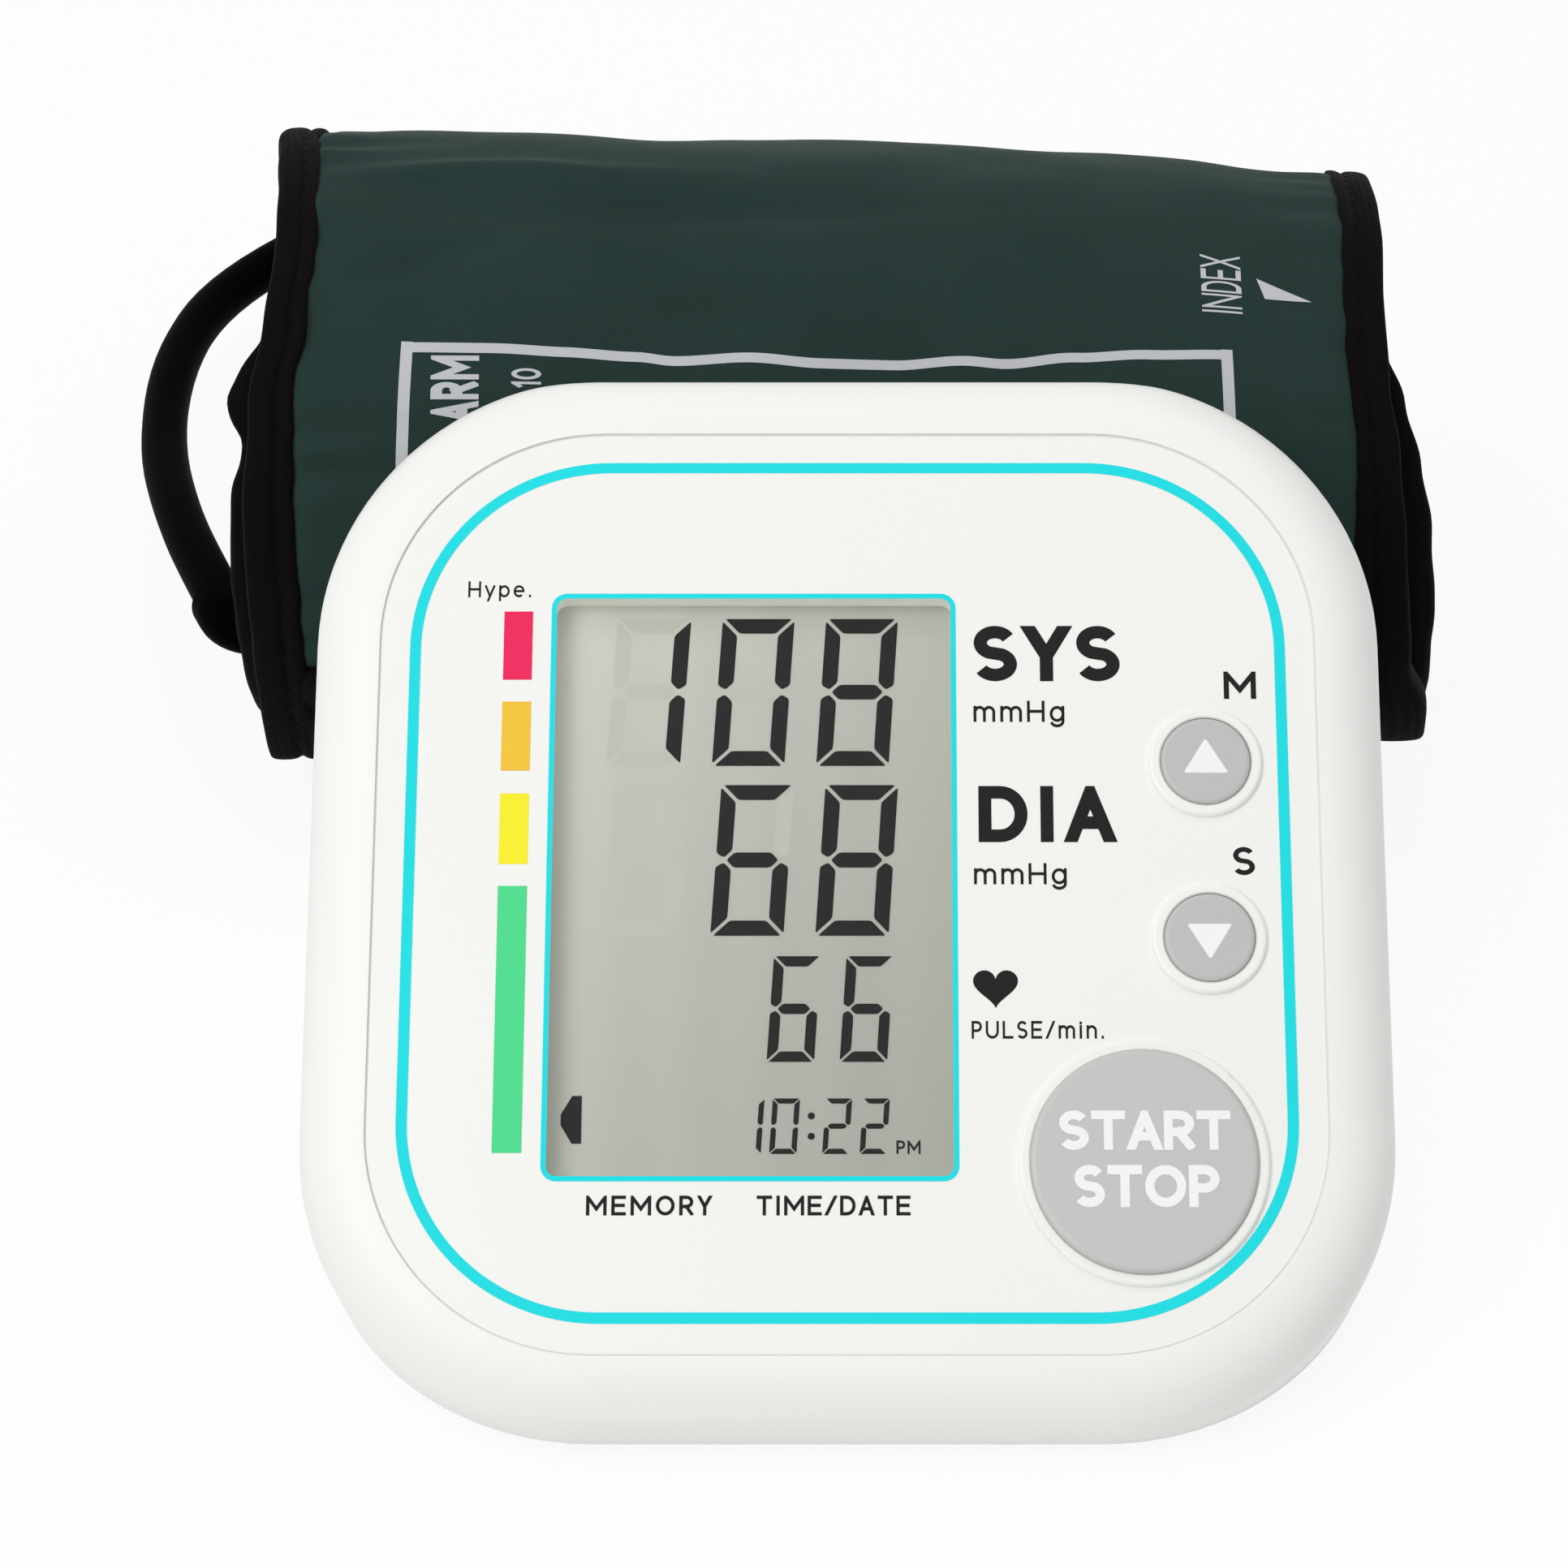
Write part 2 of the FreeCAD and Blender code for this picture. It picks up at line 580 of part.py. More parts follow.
# Housing
def prism(name, inset, top, rounding):
    """The round-cornered block that the housing is trimmed from, set in by an inset."""
    width = f"panel_width + 2 * (panel_seam + bezel_width) - 2 * ({inset})"
    height = f"panel_height + 2 * (panel_seam + bezel_width) + bezel_brow - 2 * ({inset})"
    corner = f"panel_corner + panel_seam + bezel_width - ({inset})"
    body = new_body(name)
    sketch = sketch_on(body, "XY_Plane", ("0", "0", f"{top} - prism_depth"))
    rounded_outline(sketch, width, height, corner, ("0", "bezel_brow / 2"))
    block = pad(body, sketch, "prism_depth")
    doc.recompute()
    rim = edges_where(block.Shape, lambda edge: all_at(edge, "z", value(top)))
    round_edges(body, block, rim, rounding)
    return place_face(body)


def hull(name, inset, top, rounding, back_rounding):
    """The prism trimmed by the underside and the back wall, with its back edges rounded."""
    reach = "keep_reach"
    keep = base_box(
        f"{name}_keep",
        (f"0 - {reach}", f"0 - {reach}", f"foot_height + ({inset})"),
        (reach, f"back_depth - ({inset})", reach),
    )
    trimmed = common(f"{name}_trimmed", prism(f"{name}_prism", inset, top, rounding), keep)
    doc.recompute()
    back = value(f"monitor_centre_y + back_depth - ({inset})")
    floor = value(f"foot_height + ({inset})")
    chosen = edges_where(
        trimmed.Shape, lambda edge: all_at(edge, "y", back) and not all_at(edge, "z", floor)
    )
    radius = mm(back_rounding)
    rounded = doc.addObject("Part::Fillet", f"{name}_rounded")
    rounded.Base = trimmed
    rounded.Edges = [(index, radius, radius) for index in chosen]
    return rounded


SCREW_SPOTS = [
    (f"{side} * screw_x", place, top)
    for side in (-1, 1)
    for place, top in (("screw_front", "front_boss_top"), ("screw_back", "back_boss_top"))
]
FOOT_SPOTS = [(f"{side} * foot_x", place) for side in (-1, 1) for place in ("foot_front", "foot_back")]
POSTS = [(f"{x} * board_width / 2", f"{rise} * board_height / 2") for x, rise in POST_SHARES]
BUTTONS = [
    ("start", "start_x", "start_rise", "start_radius", "start_crown", "start_stem_radius"),
    ("memory", "small_x", "memory_rise", "small_radius", "small_crown", "small_stem_radius"),
    ("set", "small_x", "set_rise", "small_radius", "small_crown", "small_stem_radius"),
]


def half(name, shell, low, high):
    """The part of the shell between two heights."""
    reach = "keep_reach"
    slab = base_box(f"{name}_slab", (f"0 - {reach}", f"0 - {reach}", low), (reach, reach, high))
    return common(f"{name}_half", shell, slab)


def front_shell(shell):
    """Upper shell: face wall with its windows, board posts and the upper screw bosses."""
    parts = [half("front", shell, "parting_height", "keep_reach")]
    cuts = []
    for x, rise in POSTS:
        low = "0 - board_depth"
        parts.append(face_rod("board_post", (x, rise), "standoff_radius", low, f"overrun - {WALL_BACK}"))
        cuts.append(face_rod("board_pilot", (x, rise), "pilot_radius", f"{low} - overrun",
                             f"0 - {WALL_BACK}"))
    for x, place, top in SCREW_SPOTS:
        parts.append(base_rod("upper_boss", "z", (x, place, "parting_height"), "boss_radius",
                              f"{top} - parting_height"))
        if place == "screw_back":
            web_low = (f"{x} - boss_radius", place, "parting_height")
            web_high = (f"{x} + boss_radius", "back_depth - wall / 2", top)
            parts.append(base_box("boss_web", web_low, web_high))
        cuts.append(base_rod("upper_pilot", "z", (x, place, "parting_height - overrun"),
                             "case_pilot_radius", "case_pilot_top - parting_height + overrun"))
    recess = rounded_plate("panel_recess", "panel_width + 2 * panel_seam", "panel_height + 2 * panel_seam",
                           "panel_corner + panel_seam", "0 - panel_thickness", "bezel_rise + overrun")
    margin = "2 * (lens_flange + fit_gap)"
    window = rounded_plate("wall_window", f"display_width + {margin}", f"display_height + {margin}",
                           "display_corner + fit_gap", f"0 - {WALL_BACK} - overrun", "0",
                           ("display_x", "display_rise"))
    cuts += [recess, window]
    for name, x, rise, radius, crown, stem in BUTTONS:
        cuts.append(face_rod(f"{name}_wall_hole", (x, rise), f"{radius} + 2 * button_gap",
                             f"0 - {WALL_BACK} - overrun", "0"))
    cuts.append(base_rod("socket_hole", "x", (f"0 - {HALF_WIDTH} - overrun", "socket_y", "socket_height"),
                         "socket_radius + close_gap", "wall + 2 * overrun"))
    return named(cut("front_shell", fuse("front_parts", parts), fuse("front_cuts", cuts)), "front_shell")


def rear_shell(shell):
    """Lower tray: floor, battery bay walls, screw bosses and the ledge under the manifold."""
    parts = [half("rear", shell, "0", "parting_height")]
    cuts = []
    bay_low = ("bay_left - bay_wall", "bay_front - bay_wall", f"{FLOOR} - overrun")
    bay_high = (f"{BAY_RIGHT} + bay_wall", f"{BAY_BACK} + bay_wall", f"{BAY_TOP} + bay_wall")
    parts.append(base_box("bay_block", bay_low, bay_high))
    cuts.append(base_box("bay_space", ("bay_left", "bay_front", "0"), (BAY_RIGHT, BAY_BACK, BAY_TOP)))
    for x, place, top in SCREW_SPOTS:
        parts.append(base_rod("lower_boss", "z", (x, place, f"{FLOOR} - overrun"), "boss_radius",
                              f"parting_height - {FLOOR} + overrun"))
        cuts.append(base_rod("screw_way", "z", (x, place, "0"), "case_screw_hole",
                             "parting_height + overrun"))
        cuts.append(base_rod("screw_pocket", "z", (x, place, "0"), "screw_pocket_radius", "screw_seat"))
    for x, place in FOOT_SPOTS:
        cuts.append(base_rod("foot_seat", "z", (x, place, "0"), "foot_radius", "foot_height + foot_recess"))
    rest_low = (f"{MANIFOLD_X} - manifold_rest_length / 2", "manifold_y - manifold_width / 2",
                f"{FLOOR} - overrun")
    rest_high = (f"{MANIFOLD_X} + manifold_rest_length / 2", "manifold_y + manifold_width / 2",
                 "manifold_height - manifold_width / 2")
    parts.append(base_box("manifold_rest", rest_low, rest_high))
    pin_end = "(door_gap + hinge_pin_length)"
    for start in (f"bay_front - {pin_end}", f"{BAY_BACK} - overrun"):
        cuts.append(base_rod("pin_hole", "y", (HINGE_X, start, HINGE_HEIGHT), "hinge_pin_radius + close_gap",
                             f"{pin_end} + overrun"))
    half_latch = "(latch_width / 2 + door_gap)"
    latch_middle = f"(bay_front + {BAY_DEPTH} / 2)"
    cuts.append(base_box("latch_seat",
                         ("bay_left - latch_reach - door_gap", f"{latch_middle} - {half_latch}", "0"),
                         ("bay_left + overrun", f"{latch_middle} + {half_latch}",
                          "foot_height + latch_thickness + close_gap")))
    return named(cut("rear_shell", fuse("rear_parts", parts), fuse("rear_cuts", cuts)), "rear_shell")


def face_panel():
    """Inset face plate with the display opening and a raised collar round each button."""
    body = new_body("face_panel")
    sketch = sketch_on(body, "XY_Plane", ("0", "0", "0 - panel_thickness"))
    rounded_outline(sketch, "panel_width", "panel_height", "panel_corner")
    pad(body, sketch, "panel_thickness")
    collars = sketch_on(body, "XY_Plane", ("0", "0", "0"))
    for name, x, rise, radius, crown, stem in BUTTONS:
        circle_outline(collars, f"{radius} + button_gap + collar_width", (x, rise))
    raised = pad(body, collars, "collar_height")
    doc.recompute()
    crests = edges_where(raised.Shape, lambda edge: all_at(edge, "z", mm("collar_height")))
    round_edges(body, raised, crests, "collar_edge")
    holes = sketch_on(body, "XY_Plane", ("0", "0", "collar_height"))
    rounded_outline(holes, "display_width", "display_height", "display_corner", ("display_x", "display_rise"))
    for name, x, rise, radius, crown, stem in BUTTONS:
        circle_outline(holes, f"{radius} + button_gap", (x, rise))
    pocket(body, holes, "collar_height + panel_thickness")
    return named(place_face(body), "face_panel")


# Display
def display_lens():
    """Clear window that fills the panel's opening, with a flange behind the panel."""
    body = new_body("display_lens")
    middle = ("display_x", "display_rise")
    flange = sketch_on(body, "XY_Plane", ("0", "0", "0 - panel_thickness - lens_flange_thickness"))
    rounded_outline(flange, "display_width + 2 * lens_flange", "display_height + 2 * lens_flange",
                    "display_corner + lens_flange", middle)
    pad(body, flange, "lens_flange_thickness")
    front = sketch_on(body, "XY_Plane", ("0", "0", "0 - panel_thickness"))
    rounded_outline(front, "display_width - 2 * lens_gap", "display_height - 2 * lens_gap",
                    "display_corner - lens_gap", middle)
    pad(body, front, "panel_thickness - lens_recess")
    return named(place_face(body), "display_lens")


def lcd_stack():
    """Display glass in its frame, with the reflector and the two elastic contact strips behind it."""
    middle = ("display_x", "display_rise")
    inside_width = f"({GLASS_WIDTH} - 2 * frame_ledge)"
    inside_height = f"({GLASS_HEIGHT} - 2 * frame_lip)"
    seat = f"(0 - {GLASS_BACK} - reflector_thickness)"
    outline = ("display_width + 2 * frame_border", "display_height + 2 * frame_border")
    block = face_box("lcd_block", middle, outline, "0 - board_depth", f"0 - {WALL_BACK}")
    seat_cut = face_box("lcd_seat", middle, (f"{GLASS_WIDTH} + 2 * fit_gap", f"{GLASS_HEIGHT} + 2 * fit_gap"),
                        seat, "0")
    through = face_box("lcd_through", middle, (inside_width, inside_height), "0 - board_depth - overrun", "0")
    named(cut("lcd_frame", block, fuse("lcd_cuts", [seat_cut, through])), "lcd_frame")
    named(face_box("lcd_glass", middle, (GLASS_WIDTH, GLASS_HEIGHT), f"0 - {GLASS_BACK}",
                   f"0 - {GLASS_FRONT}"), "lcd_glass")
    strip_room = "(2 * (frame_lip + strip_thickness + 2 * fit_gap))"
    named(face_box("lcd_reflector", middle, (GLASS_WIDTH, f"{GLASS_HEIGHT} - {strip_room}"), seat,
                   f"0 - {GLASS_BACK}"), "lcd_reflector")
    strips = []
    for side in (-1, 1):
        rise = f"display_rise + {side} * ({inside_height} / 2 - fit_gap - strip_thickness / 2)"
        outline = (f"{inside_width} - 2 * fit_gap", "strip_thickness")
        strips.append(face_box("strip", ("display_x", rise), outline, "0 - board_depth", f"0 - {GLASS_BACK}"))
    named(group("contact_strips", strips), "contact_strips")


# Circuit board and what is soldered to it
def main_board():
    board = rounded_plate("board_plate", "board_width", "board_height", "board_corner",
                          f"0 - {BOARD_BACK}", "0 - board_depth")
    holes = [face_rod("board_hole", spot, "board_hole_radius", f"0 - {BOARD_BACK} - overrun",
                      "overrun - board_depth") for spot in POSTS]
    named(cut("main_board", board, fuse("board_holes", holes)), "main_board")
    screws = []
    for spot in POSTS:
        low = f"(0 - {BOARD_BACK})"
        head = face_rod("screw_head", spot, "board_screw_head_radius",
                        f"{low} - board_screw_head_height", low)
        shank = face_rod("screw_shank", spot, "board_screw_radius", f"{low} - overrun",
                         f"{low} + board_screw_length")
        screws.append(fuse("board_screw", [head, shank]))
    named(group("board_screws", screws), "board_screws")
    chip_low = f"0 - {BOARD_BACK} - chip_thickness"
    named(face_box("controller_chip", ("chip_x", "chip_rise"), ("chip_width", "chip_width"), chip_low,
                   f"0 - {BOARD_BACK}"), "controller_chip")
    named(face_rod("buzzer", ("buzzer_x", "buzzer_rise"), "buzzer_radius",
                   f"0 - {BOARD_BACK} - buzzer_height", f"0 - {BOARD_BACK}"), "buzzer")


def tact_switches():
    switches = []
    for name, x, rise, radius, crown, stem in BUTTONS:
        top = "(switch_height - board_depth)"
        case = face_box("switch_case", (x, rise), ("switch_width", "switch_width"), "0 - board_depth", top)
        well = face_rod("switch_well", (x, rise), "plunger_radius + close_gap", "switch_floor - board_depth",
                        f"{top} + overrun")
        switches.append(cut("switch", case, well))
    named(group("tact_switches", switches), "tact_switches")


def button(name, x, rise, radius, crown, stem):
    """Hollow cap with a retaining flange behind the wall and a stem down to its switch plunger."""
    body = new_body(f"{name}_button")
    sketch = sketch_on(body, "XZ_Plane", (x, "0", f"0 - ({rise})"))
    flange_front = f"0 - {WALL_BACK} - flange_clearance"
    flange_back = f"{flange_front} - flange_thickness"
    straight_outline(sketch, [
        ("0", crown), (radius, crown), (radius, flange_front), (f"{radius} + flange_lip", flange_front),
        (f"{radius} + flange_lip", flange_back), (f"{radius} - cap_wall", flange_back),
        (f"{radius} - cap_wall", f"{crown} - cap_wall"), (stem, f"{crown} - cap_wall"),
        (stem, "0 - plunger_depth"), ("0", "0 - plunger_depth"),
    ])
    turned = body.newObject("PartDesign::Revolution", f"{name}_turned")
    turned.Profile = sketch
    turned.ReferenceAxis = (sketch, ["V_Axis"])
    turned.Angle = 360
    doc.recompute()
    crest = edges_where(turned.Shape, lambda edge: all_at(edge, "z", value(crown)))
    round_edges(body, turned, crest, "button_edge")
    named(place_face(body), f"{name}_button")
    named(face_rod(f"{name}_plunger", (x, rise), "plunger_radius", "0 - plunger_depth - plunger_length",
                   "0 - plunger_depth"), f"{name}_plunger")


# Turns and round tubes
def biarc(start, heading, finish, arrival):
    """Two arcs that join two points with a heading at each."""
    span = finish - start
    both = heading + arrival
    bend = 2 * (1 - heading.dot(arrival))
    along = span.dot(both)
    reach = (math.sqrt(along * along + bend * span.dot(span)) - along) / bend
    meet = (start + finish + (heading - arrival) * reach) * 0.5
    return [arc_from(start, heading, meet), arc_from(finish, arrival * -1, meet, True)]


def arc_from(start, heading, finish, backwards=False):
    """The arc that leaves a point along a heading and ends at another."""
    chord = finish - start
    side = chord - heading * chord.dot(heading)
    radius = chord.dot(chord) / (2 * side.Length)
    side.normalize()
    centre = start + side * radius
    outward = (start + finish) * 0.5 - centre
    outward.normalize()
    middle = centre + outward * radius
    if backwards:
        start, finish = finish, start
    return Part.Arc(start, middle, finish).toShape()


def turning_wire(place, turns, steps_per_turn, lead):
    """A path along a winding formula: biarcs of a quarter turn, with a straight lead at each end."""
    count = round(turns * steps_per_turn)
    nudge = 1e-4
    spots, headings = [], []
    for step in range(count + 1):
        angle = step / steps_per_turn
        heading = place(angle + nudge) - place(angle - nudge)
        heading.normalize()
        spots.append(place(angle))
        headings.append(heading)
    edges = []
    for step in range(count):
        edges += biarc(spots[step], headings[step], spots[step + 1], headings[step + 1])
    if lead:
        edges.insert(0, Part.LineSegment(spots[0] - headings[0] * lead, spots[0]).toShape())
        edges.append(Part.LineSegment(spots[-1], spots[-1] + headings[-1] * lead).toShape())
    return Part.Wire(edges)


def self_gap(wire, radius):
    """Least gap between the turns of a wound tube, measured on points along it."""
    spacing = radius / 2
    spots = wire.discretize(Distance=spacing)
    apart = round(math.pi * 2 * radius / spacing)
    least = min((one - other).Length for index, one in enumerate(spots) for other in spots[index + apart:])
    return least - 2 * radius


def tube_along(wire, radius):
    """A round solid swept along a path of lines and arcs."""
    first = wire.OrderedEdges[0]
    start = first.valueAt(first.FirstParameter)
    heading = first.tangentAt(first.FirstParameter)
    ring = Part.Wire(Part.makeCircle(radius, start, heading))
    return wire.makePipeShell([ring], True, False)


def rounded_route(points, bend=None, reach_share=0.45):
    """Straight runs joined by tangent arcs, as large as the runs allow or of one given bend."""
    edges, radii = [], []
    start = points[0]
    for before, corner, after in zip(points, points[1:], points[2:]):
        back, ahead = before - corner, after - corner
        shorter = min(back.Length, ahead.Length)
        back.normalize()
        ahead.normalize()
        half_turn = (math.pi - back.getAngle(ahead)) / 2
        radius = bend or reach_share * shorter / math.tan(half_turn)
        reach = radius * math.tan(half_turn)
        inward = back + ahead
        inward.normalize()
        middle = corner + inward * (radius / math.cos(half_turn) - radius)
        enter, leave = corner + back * reach, corner + ahead * reach
        edges.append(Part.LineSegment(start, enter).toShape())
        edges.append(Part.Arc(enter, middle, leave).toShape())
        start = leave
        radii.append(radius)
    edges.append(Part.LineSegment(start, points[-1]).toShape())
    return Part.Wire(edges), radii


# Batteries
def cell_middle(index):
    return f"bay_front + fit_gap + cell_radius + {index} * (2 * cell_radius + cell_gap)"


def batteries():
    """Four cells laid side by side, turn and turn about, each on a plate and a cone spring."""
    cells, springs, plates = [], [], []
    for index in range(round(mm("cell_count"))):
        nub_right = index % 2 == 0
        y = cell_middle(index)
        low = "bay_left + plate_thickness" + (" + spring_length" if nub_right else "")
        can_start = low if nub_right else f"{low} + nub_length"
        can = base_rod("cell_can", "x", (can_start, y, CELL_HEIGHT), "cell_radius",
                       "cell_length - nub_length")
        nub = base_rod("cell_nub", "x", (low, y, CELL_HEIGHT), "nub_radius", "cell_length")
        cells.append(fuse("cell", [can, nub]))
        for plate_low in ("bay_left", f"{BAY_RIGHT} - plate_thickness"):
            corner = (plate_low, f"{y} - plate_width / 2", f"{CELL_HEIGHT} - plate_width / 2")
            far = (f"{plate_low} + plate_thickness", f"{y} + plate_width / 2",
                   f"{CELL_HEIGHT} + plate_width / 2")
            plates.append(base_box("plate", corner, far))
        springs.append(battery_spring(y, nub_right))
    named(group("battery_cells", cells), "battery_cells")
    named(group("battery_springs", springs), "battery_springs")
    named(group("battery_plates", plates), "battery_plates")


def battery_spring(y, on_left):
    """Cone spring from its plate to the flat end of a cell."""
    wire_radius = mm("spring_wire_radius")
    turns = mm("spring_turns")
    span = mm("spring_length") - 2 * wire_radius
    side = 1 if on_left else -1
    foot = value("bay_left + plate_thickness" if on_left else f"{BAY_RIGHT} - plate_thickness")
    middle = Vector(mm("monitor_centre_x") + foot, mm("monitor_centre_y") + value(y), value(CELL_HEIGHT))

    def place(angle):
        share = angle / turns
        radius = mm("spring_base_radius") + (mm("spring_tip_radius") - mm("spring_base_radius")) * share
        spin = 2 * math.pi * angle
        along = side * (wire_radius + span * share)
        return middle + Vector(along, radius * math.cos(spin), radius * math.sin(spin))

    path = turning_wire(place, turns, 4, 0)
    print(f"battery spring: least gap to itself {self_gap(path, wire_radius):.2f} mm")
    return solid("spring", tube_along(path, wire_radius))


def battery_door():
    """Flush door under the bay: hinged at its right edge, with a thumb latch at its left."""
    front, back = "bay_front + door_gap", f"{BAY_BACK} - door_gap"
    top = FLOOR
    plate = base_box("door_plate", ("bay_left + door_gap", front, "foot_height"), (HINGE_X, back, top))
    barrel = base_rod("door_barrel", "y", (HINGE_X, front, HINGE_HEIGHT), "wall / 2", f"{back} - ({front})")
    pin = base_rod("door_pin", "y", (HINGE_X, f"bay_front - hinge_pin_length", HINGE_HEIGHT),
                   "hinge_pin_radius", f"{BAY_DEPTH} + 2 * hinge_pin_length")
    middle = f"(bay_front + {BAY_DEPTH} / 2)"
    latch = base_box("door_latch",
                     ("bay_left - latch_reach", f"{middle} - latch_width / 2", "foot_height"),
                     ("bay_left + door_gap + overrun", f"{middle} + latch_width / 2",
                      "foot_height + latch_thickness"))
    grooves = []
    for index in range(round(mm("grip_count"))):
        left = f"bay_left + grip_pitch * ({index} + 1)"
        grooves.append(base_box("door_groove", (left, f"{middle} - latch_width / 2", "0"),
                                (f"{left} + grip_width", f"{middle} + latch_width / 2",
                                 "foot_height + grip_depth")))
    whole = fuse("door_parts", [plate, barrel, pin, latch])
    named(cut("battery_door", whole, fuse("door_grooves", grooves)), "battery_door")


# Feet and case screws
def feet_and_screws():
    feet = [base_rod("foot", "z", (x, y, "0"), "foot_radius", "foot_height + foot_recess")
            for x, y in FOOT_SPOTS]
    named(group("rubber_feet", feet), "rubber_feet")
    screws = []
    for x, y, top in SCREW_SPOTS:
        head = base_rod("case_head", "z", (x, y, "screw_seat - screw_head_height"), "screw_head_radius",
                        "screw_head_height")
        shank = base_rod("case_shank", "z", (x, y, "screw_seat - overrun"), "case_screw_radius",
                         "case_screw_top - screw_seat + overrun")
        screws.append(fuse("case_screw", [head, shank]))
    named(group("case_screws", screws), "case_screws")


# Pump
def pump():
    """Motor, crank, body, diaphragm and cover in a row, on two rubber saddles."""
    def turned(name, left, radius, length):
        return base_rod(name, "x", (left, "pump_y", PUMP_HEIGHT), radius, length)

    seat_left = f"({PUMP_LEFT} - shaft_seat)"
    motor = turned("motor_can", "motor_left", "motor_radius", "motor_length")
    bearing = turned("motor_bearing", seat_left, "shaft_radius + close_gap", "shaft_seat + overrun")
    named(cut("pump_motor", motor, bearing), "pump_motor")
    block = turned("pump_block", PUMP_LEFT, "pump_radius", "pump_length")
    chamber = turned("pump_chamber", f"{PUMP_LEFT} + pump_wall", "pump_radius - pump_wall", "pump_length")
    shaft_hole = turned("pump_shaft_hole", f"{PUMP_LEFT} - overrun", "shaft_hole_radius",
                        "pump_wall + 2 * overrun")
    named(cut("pump_body", block, fuse("pump_space", [chamber, shaft_hole])), "pump_body")
    disc_left = f"({PUMP_LEFT} + pump_wall + crank_standoff)"
    shaft = turned("crank_shaft", f"{seat_left} + close_gap", "shaft_radius",
                   f"{disc_left} - {seat_left} + crank_thickness / 2")
    disc = turned("crank_disc", disc_left, "crank_radius", "crank_thickness")
    pin = base_rod("crank_pin", "x", (disc_left, "pump_y", f"{PUMP_HEIGHT} + crank_throw"),
                   "crank_pin_radius", "crank_thickness + crank_pin_length")
    named(fuse("pump_crank", [shaft, disc, pin]), "pump_crank")
    named(turned("pump_diaphragm", DIAPHRAGM_LEFT, "pump_radius", "diaphragm_thickness"), "pump_diaphragm")
    lid = turned("cover_block", COVER_LEFT, "pump_radius", "cover_length")
    tip = "manifold_y + manifold_width / 2 + nozzle_length + nozzle_space"
    outlet = base_rod("cover_nozzle", "y", (MANIFOLD_X, tip, "manifold_height"), "nozzle_radius",
                      f"pump_y - pump_radius / 2 - ({tip})")
    named(fuse("pump_cover", [lid, outlet]), "pump_cover")
    saddles = []
    for left, radius in ((f"motor_left + motor_length / 2", "motor_radius"), (PUMP_LEFT, "pump_radius")):
        low = (left, "pump_y - saddle_width / 2", FLOOR)
        high = (f"{left} + saddle_length", "pump_y + saddle_width / 2", "saddle_top")
        bed = turned("saddle_bed", f"{left} - overrun", f"{radius} + close_gap",
                     "saddle_length + 2 * overrun")
        saddles.append(cut("saddle", base_box("saddle_block", low, high), bed))
    named(group("pump_saddles", saddles), "pump_saddles")


# Valve, manifold, sensor and their tubes
def valve():
    def turned(name, left, radius, length):
        return base_rod(name, "x", (left, "manifold_y", "manifold_height"), radius, length)

    coil_left = f"({VALVE_LEFT} + valve_cap)"
    block = base_box("valve_block", (VALVE_LEFT, f"manifold_y - {VALVE_HALF}", FLOOR),
                     (VALVE_RIGHT, f"manifold_y + {VALVE_HALF}", f"manifold_height + {VALVE_HALF}"))
    nozzle = turned("valve_nozzle", f"{VALVE_RIGHT} - overrun", "nozzle_radius", "nozzle_length + overrun")
    space = turned("coil_space", coil_left, "valve_coil_radius + valve_coil_gap",
                   "valve_coil_length + valve_coil_gap")
    bore = turned("plunger_bore", coil_left, "valve_bore", "valve_bore_length")
    case = fuse("valve_case", [block, nozzle])
    named(cut("valve_body", case, fuse("valve_space", [space, bore])), "valve_body")
    winding = turned("coil_outside", coil_left, "valve_coil_radius", "valve_coil_length")
    hollow = turned("coil_inside", f"{coil_left} - overrun", "valve_bore + valve_coil_gap",
                    "valve_coil_length + 2 * overrun")
    named(cut("valve_coil", winding, hollow), "valve_coil")
    named(turned("valve_plunger", f"{coil_left} + valve_plunger_rest", "valve_plunger_radius",
                 "valve_plunger_length"), "valve_plunger")


def manifold():
    """Four-way air block: to the pump, the valve, the pressure sensor and the air socket."""
    reach = "manifold_width / 2"
    low = (f"{MANIFOLD_X} - manifold_length / 2", f"manifold_y - {reach}", f"manifold_height - {reach}")
    high = (f"{MANIFOLD_X} + manifold_length / 2", f"manifold_y + {reach}", f"manifold_height + {reach}")
    block = base_box("manifold_block", low, high)
    stub = f"{reach} + nozzle_length"
    to_pump = base_rod("to_pump", "y", (MANIFOLD_X, "manifold_y", "manifold_height"), "nozzle_radius", stub)
    valve_tip = f"{MANIFOLD_X} - manifold_length / 2 - nozzle_length"
    to_valve = base_rod("to_valve", "x", (valve_tip, "manifold_y", "manifold_height"), "nozzle_radius", stub)
    to_socket = base_rod("to_socket", "z", (BRANCH_X, "manifold_y", "manifold_height"), "nozzle_radius",
                         f"{reach} + branch_length")
    nipple_tip = f"({BOARD_BACK} + sensor_height + sensor_nipple)"
    to_sensor = face_rod("to_sensor", (SENSOR_X, SENSOR_RISE), "nozzle_radius", f"0 - {MANIFOLD_DEPTH}",
                         f"0 - {nipple_tip} - nozzle_space / 2")
    named(fuse("air_manifold", [block, to_pump, to_valve, to_socket, to_sensor]), "air_manifold")
    case = face_box("sensor_case", (SENSOR_X, SENSOR_RISE), ("sensor_width", "sensor_width"),
                    f"0 - {BOARD_BACK} - sensor_height", f"0 - {BOARD_BACK}")
    nipple = face_rod("sensor_nipple", (SENSOR_X, SENSOR_RISE), "nozzle_radius", f"0 - {nipple_tip}",
                      f"0 - {BOARD_BACK}")
    named(fuse("pressure_sensor", [case, nipple]), "pressure_sensor")


